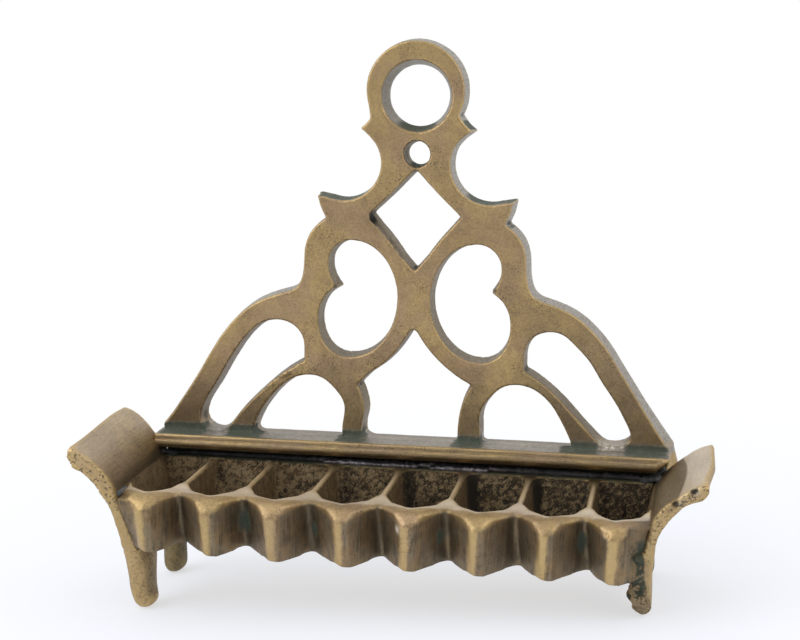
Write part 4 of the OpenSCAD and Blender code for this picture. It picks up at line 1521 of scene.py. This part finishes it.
# %% The solder
def paint_solder(material):
    net = empty_net(material)
    place = upright_place(net)
    clouds = cloud(net, place, 4, 5)
    fine = cloud(net, place, 0.5, 3)
    # Hollows and the soot mark darken the solder: dirt and painted shade.
    dirt_and_shade = (mark(net, "hollow") + clouds * 0.6).step(0.35, 0.7).most(mark(net, "soot"))
    colour = net.mix(clouds.step(0.4, 0.65), (0.235, 0.215, 0.230, 1), (0.10, 0.105, 0.105, 1))
    colour = net.mix(mark(net, "pale") * clouds.step(0.45, 0.6) * 0.6, colour, (0.50, 0.47, 0.52, 1))
    colour = net.mix(dirt_and_shade * 0.8, colour, (0.02, 0.028, 0.03, 1))
    finish_material(net, colour, (0.85 - dirt_and_shade * 0.7).held(), (0.45 + dirt_and_shade * 0.3).held(), fine + clouds, 0.12)


paint_solder(solder_metal)

# %% [markdown]
# ## The finished pieces
# Each skin becomes an object at the origin, rides on the lamp's one body, and stands for its CAD node.

# %% Pieces into the scene
pieces = [
    place_skin(plate, brass, "root", "backplate"),
    place_skin(trough, brass, "root", "oil_trough"),
    place_skin(left_cheek, brass, "root", "left_cheek"),
    place_skin(right_cheek, brass, "root", "right_cheek"),
]
for skin, node in zip(solders, ("rear_solder", "left_solder", "right_solder")):
    pieces.append(place_skin(skin, solder_metal, "root", node))
for piece in pieces:
    print(piece.name, "has", 2 * len(piece.data.polygons), "triangles")

# %% [markdown]
# ## Stage and light
# The lamp stood on white paper in soft light. Polished metal shows what surrounds it, so the surroundings are
# built as they were: white paper below and behind, a bright room above, and a darker room behind the camera.


# %% The floor
def paint_floor(material):
    net = empty_net(material)
    surface = net.add("ShaderNodeBsdfDiffuse", None, {"Color": (0.79, 0.85, 1.0, 1)})
    glow = net.add("ShaderNodeEmission", None, {"Color": (1, 1, 1, 1), "Strength": 1.0})
    place = net.add("ShaderNodeTexCoord", None, None, out="Object")
    x, y, z = net.parts(place)
    far = 0.58 + 0.42 * ((x * x + y * y) ** 0.5).step(0.08, 0.30)
    seen = net.add("ShaderNodeLightPath", None, None, out="Is Camera Ray")
    mirrored = net.wire(seen.socket.node, "Is Glossy Ray")
    through = net.wire(seen.socket.node, "Is Transmission Ray")
    share = far * seen.most(mirrored).most(through)
    both = net.add("ShaderNodeMixShader", None, {0: share, 1: surface, 2: glow})
    output = net.tree.nodes.new("ShaderNodeOutputMaterial")
    net.join(output.inputs["Surface"], both)


paper = bpy.data.materials.new("white_paper")
paint_floor(paper)
FLOOR_HALF = 4.0
corners = [(-FLOOR_HALF, -FLOOR_HALF, 0), (FLOOR_HALF, -FLOOR_HALF, 0), (FLOOR_HALF, FLOOR_HALF, 0), (-FLOOR_HALF, FLOOR_HALF, 0)]
floor = bpy.data.objects.new("floor", new_mesh("floor", corners, [(0, 1, 2, 3)]))
floor.data.materials.append(paper)
bpy.context.collection.objects.link(floor)
floor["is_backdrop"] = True

# %% The room and the lamps
world = bpy.data.worlds.new("studio")
bpy.context.scene.world = world
world.use_nodes = True
world.node_tree.nodes.clear()
net = Net(world.node_tree)
way = net.add("ShaderNodeTexCoord", None, None, out="Generated")
x, y, z = net.parts(way)
bright = (y * 0.75 + z * 0.65 - x * 0.15).step(-0.75, 0.35)
seen = net.add("ShaderNodeLightPath", None, None, out="Is Camera Ray")
mirrored = net.wire(seen.socket.node, "Is Glossy Ray") * y.step(-0.2, 0.3)
through = net.wire(seen.socket.node, "Is Transmission Ray")
share = bright.most(seen).most(mirrored).most(through)
room = net.add("ShaderNodeBackground", None, {"Color": net.mix(share, (0.30, 0.30, 0.32, 1), (1, 1, 1, 1)), "Strength": 1.0})
output = net.tree.nodes.new("ShaderNodeOutputWorld")
net.join(output.inputs["Surface"], room)


def softbox(name, place, aim, side, watts):
    """A square area lamp that looks at a place, both in metres."""
    light = bpy.data.lights.new(name, "AREA")
    light.shape = "SQUARE"
    light.size = side
    light.energy = watts
    lamp = bpy.data.objects.new(name, light)
    lamp.location = place
    lamp.rotation_mode = "QUATERNION"
    lamp.rotation_quaternion = (Vector(aim) - Vector(place)).to_track_quat("-Z", "Y")
    bpy.context.collection.objects.link(lamp)
    return lamp


softbox("softbox_left", (-0.75, -0.55, 0.75), (0, 0, 0.08), 0.9, 5.0)
softbox("softbox_right", (0.85, -0.30, 0.60), (0, 0, 0.08), 0.7, 2.0)

bpy.context.scene.view_settings.view_transform = "Standard"

# %% Print the visual box
low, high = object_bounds()
print("visual box in mm:", [round((b - a) / MM, 1) for a, b in zip(low, high)])
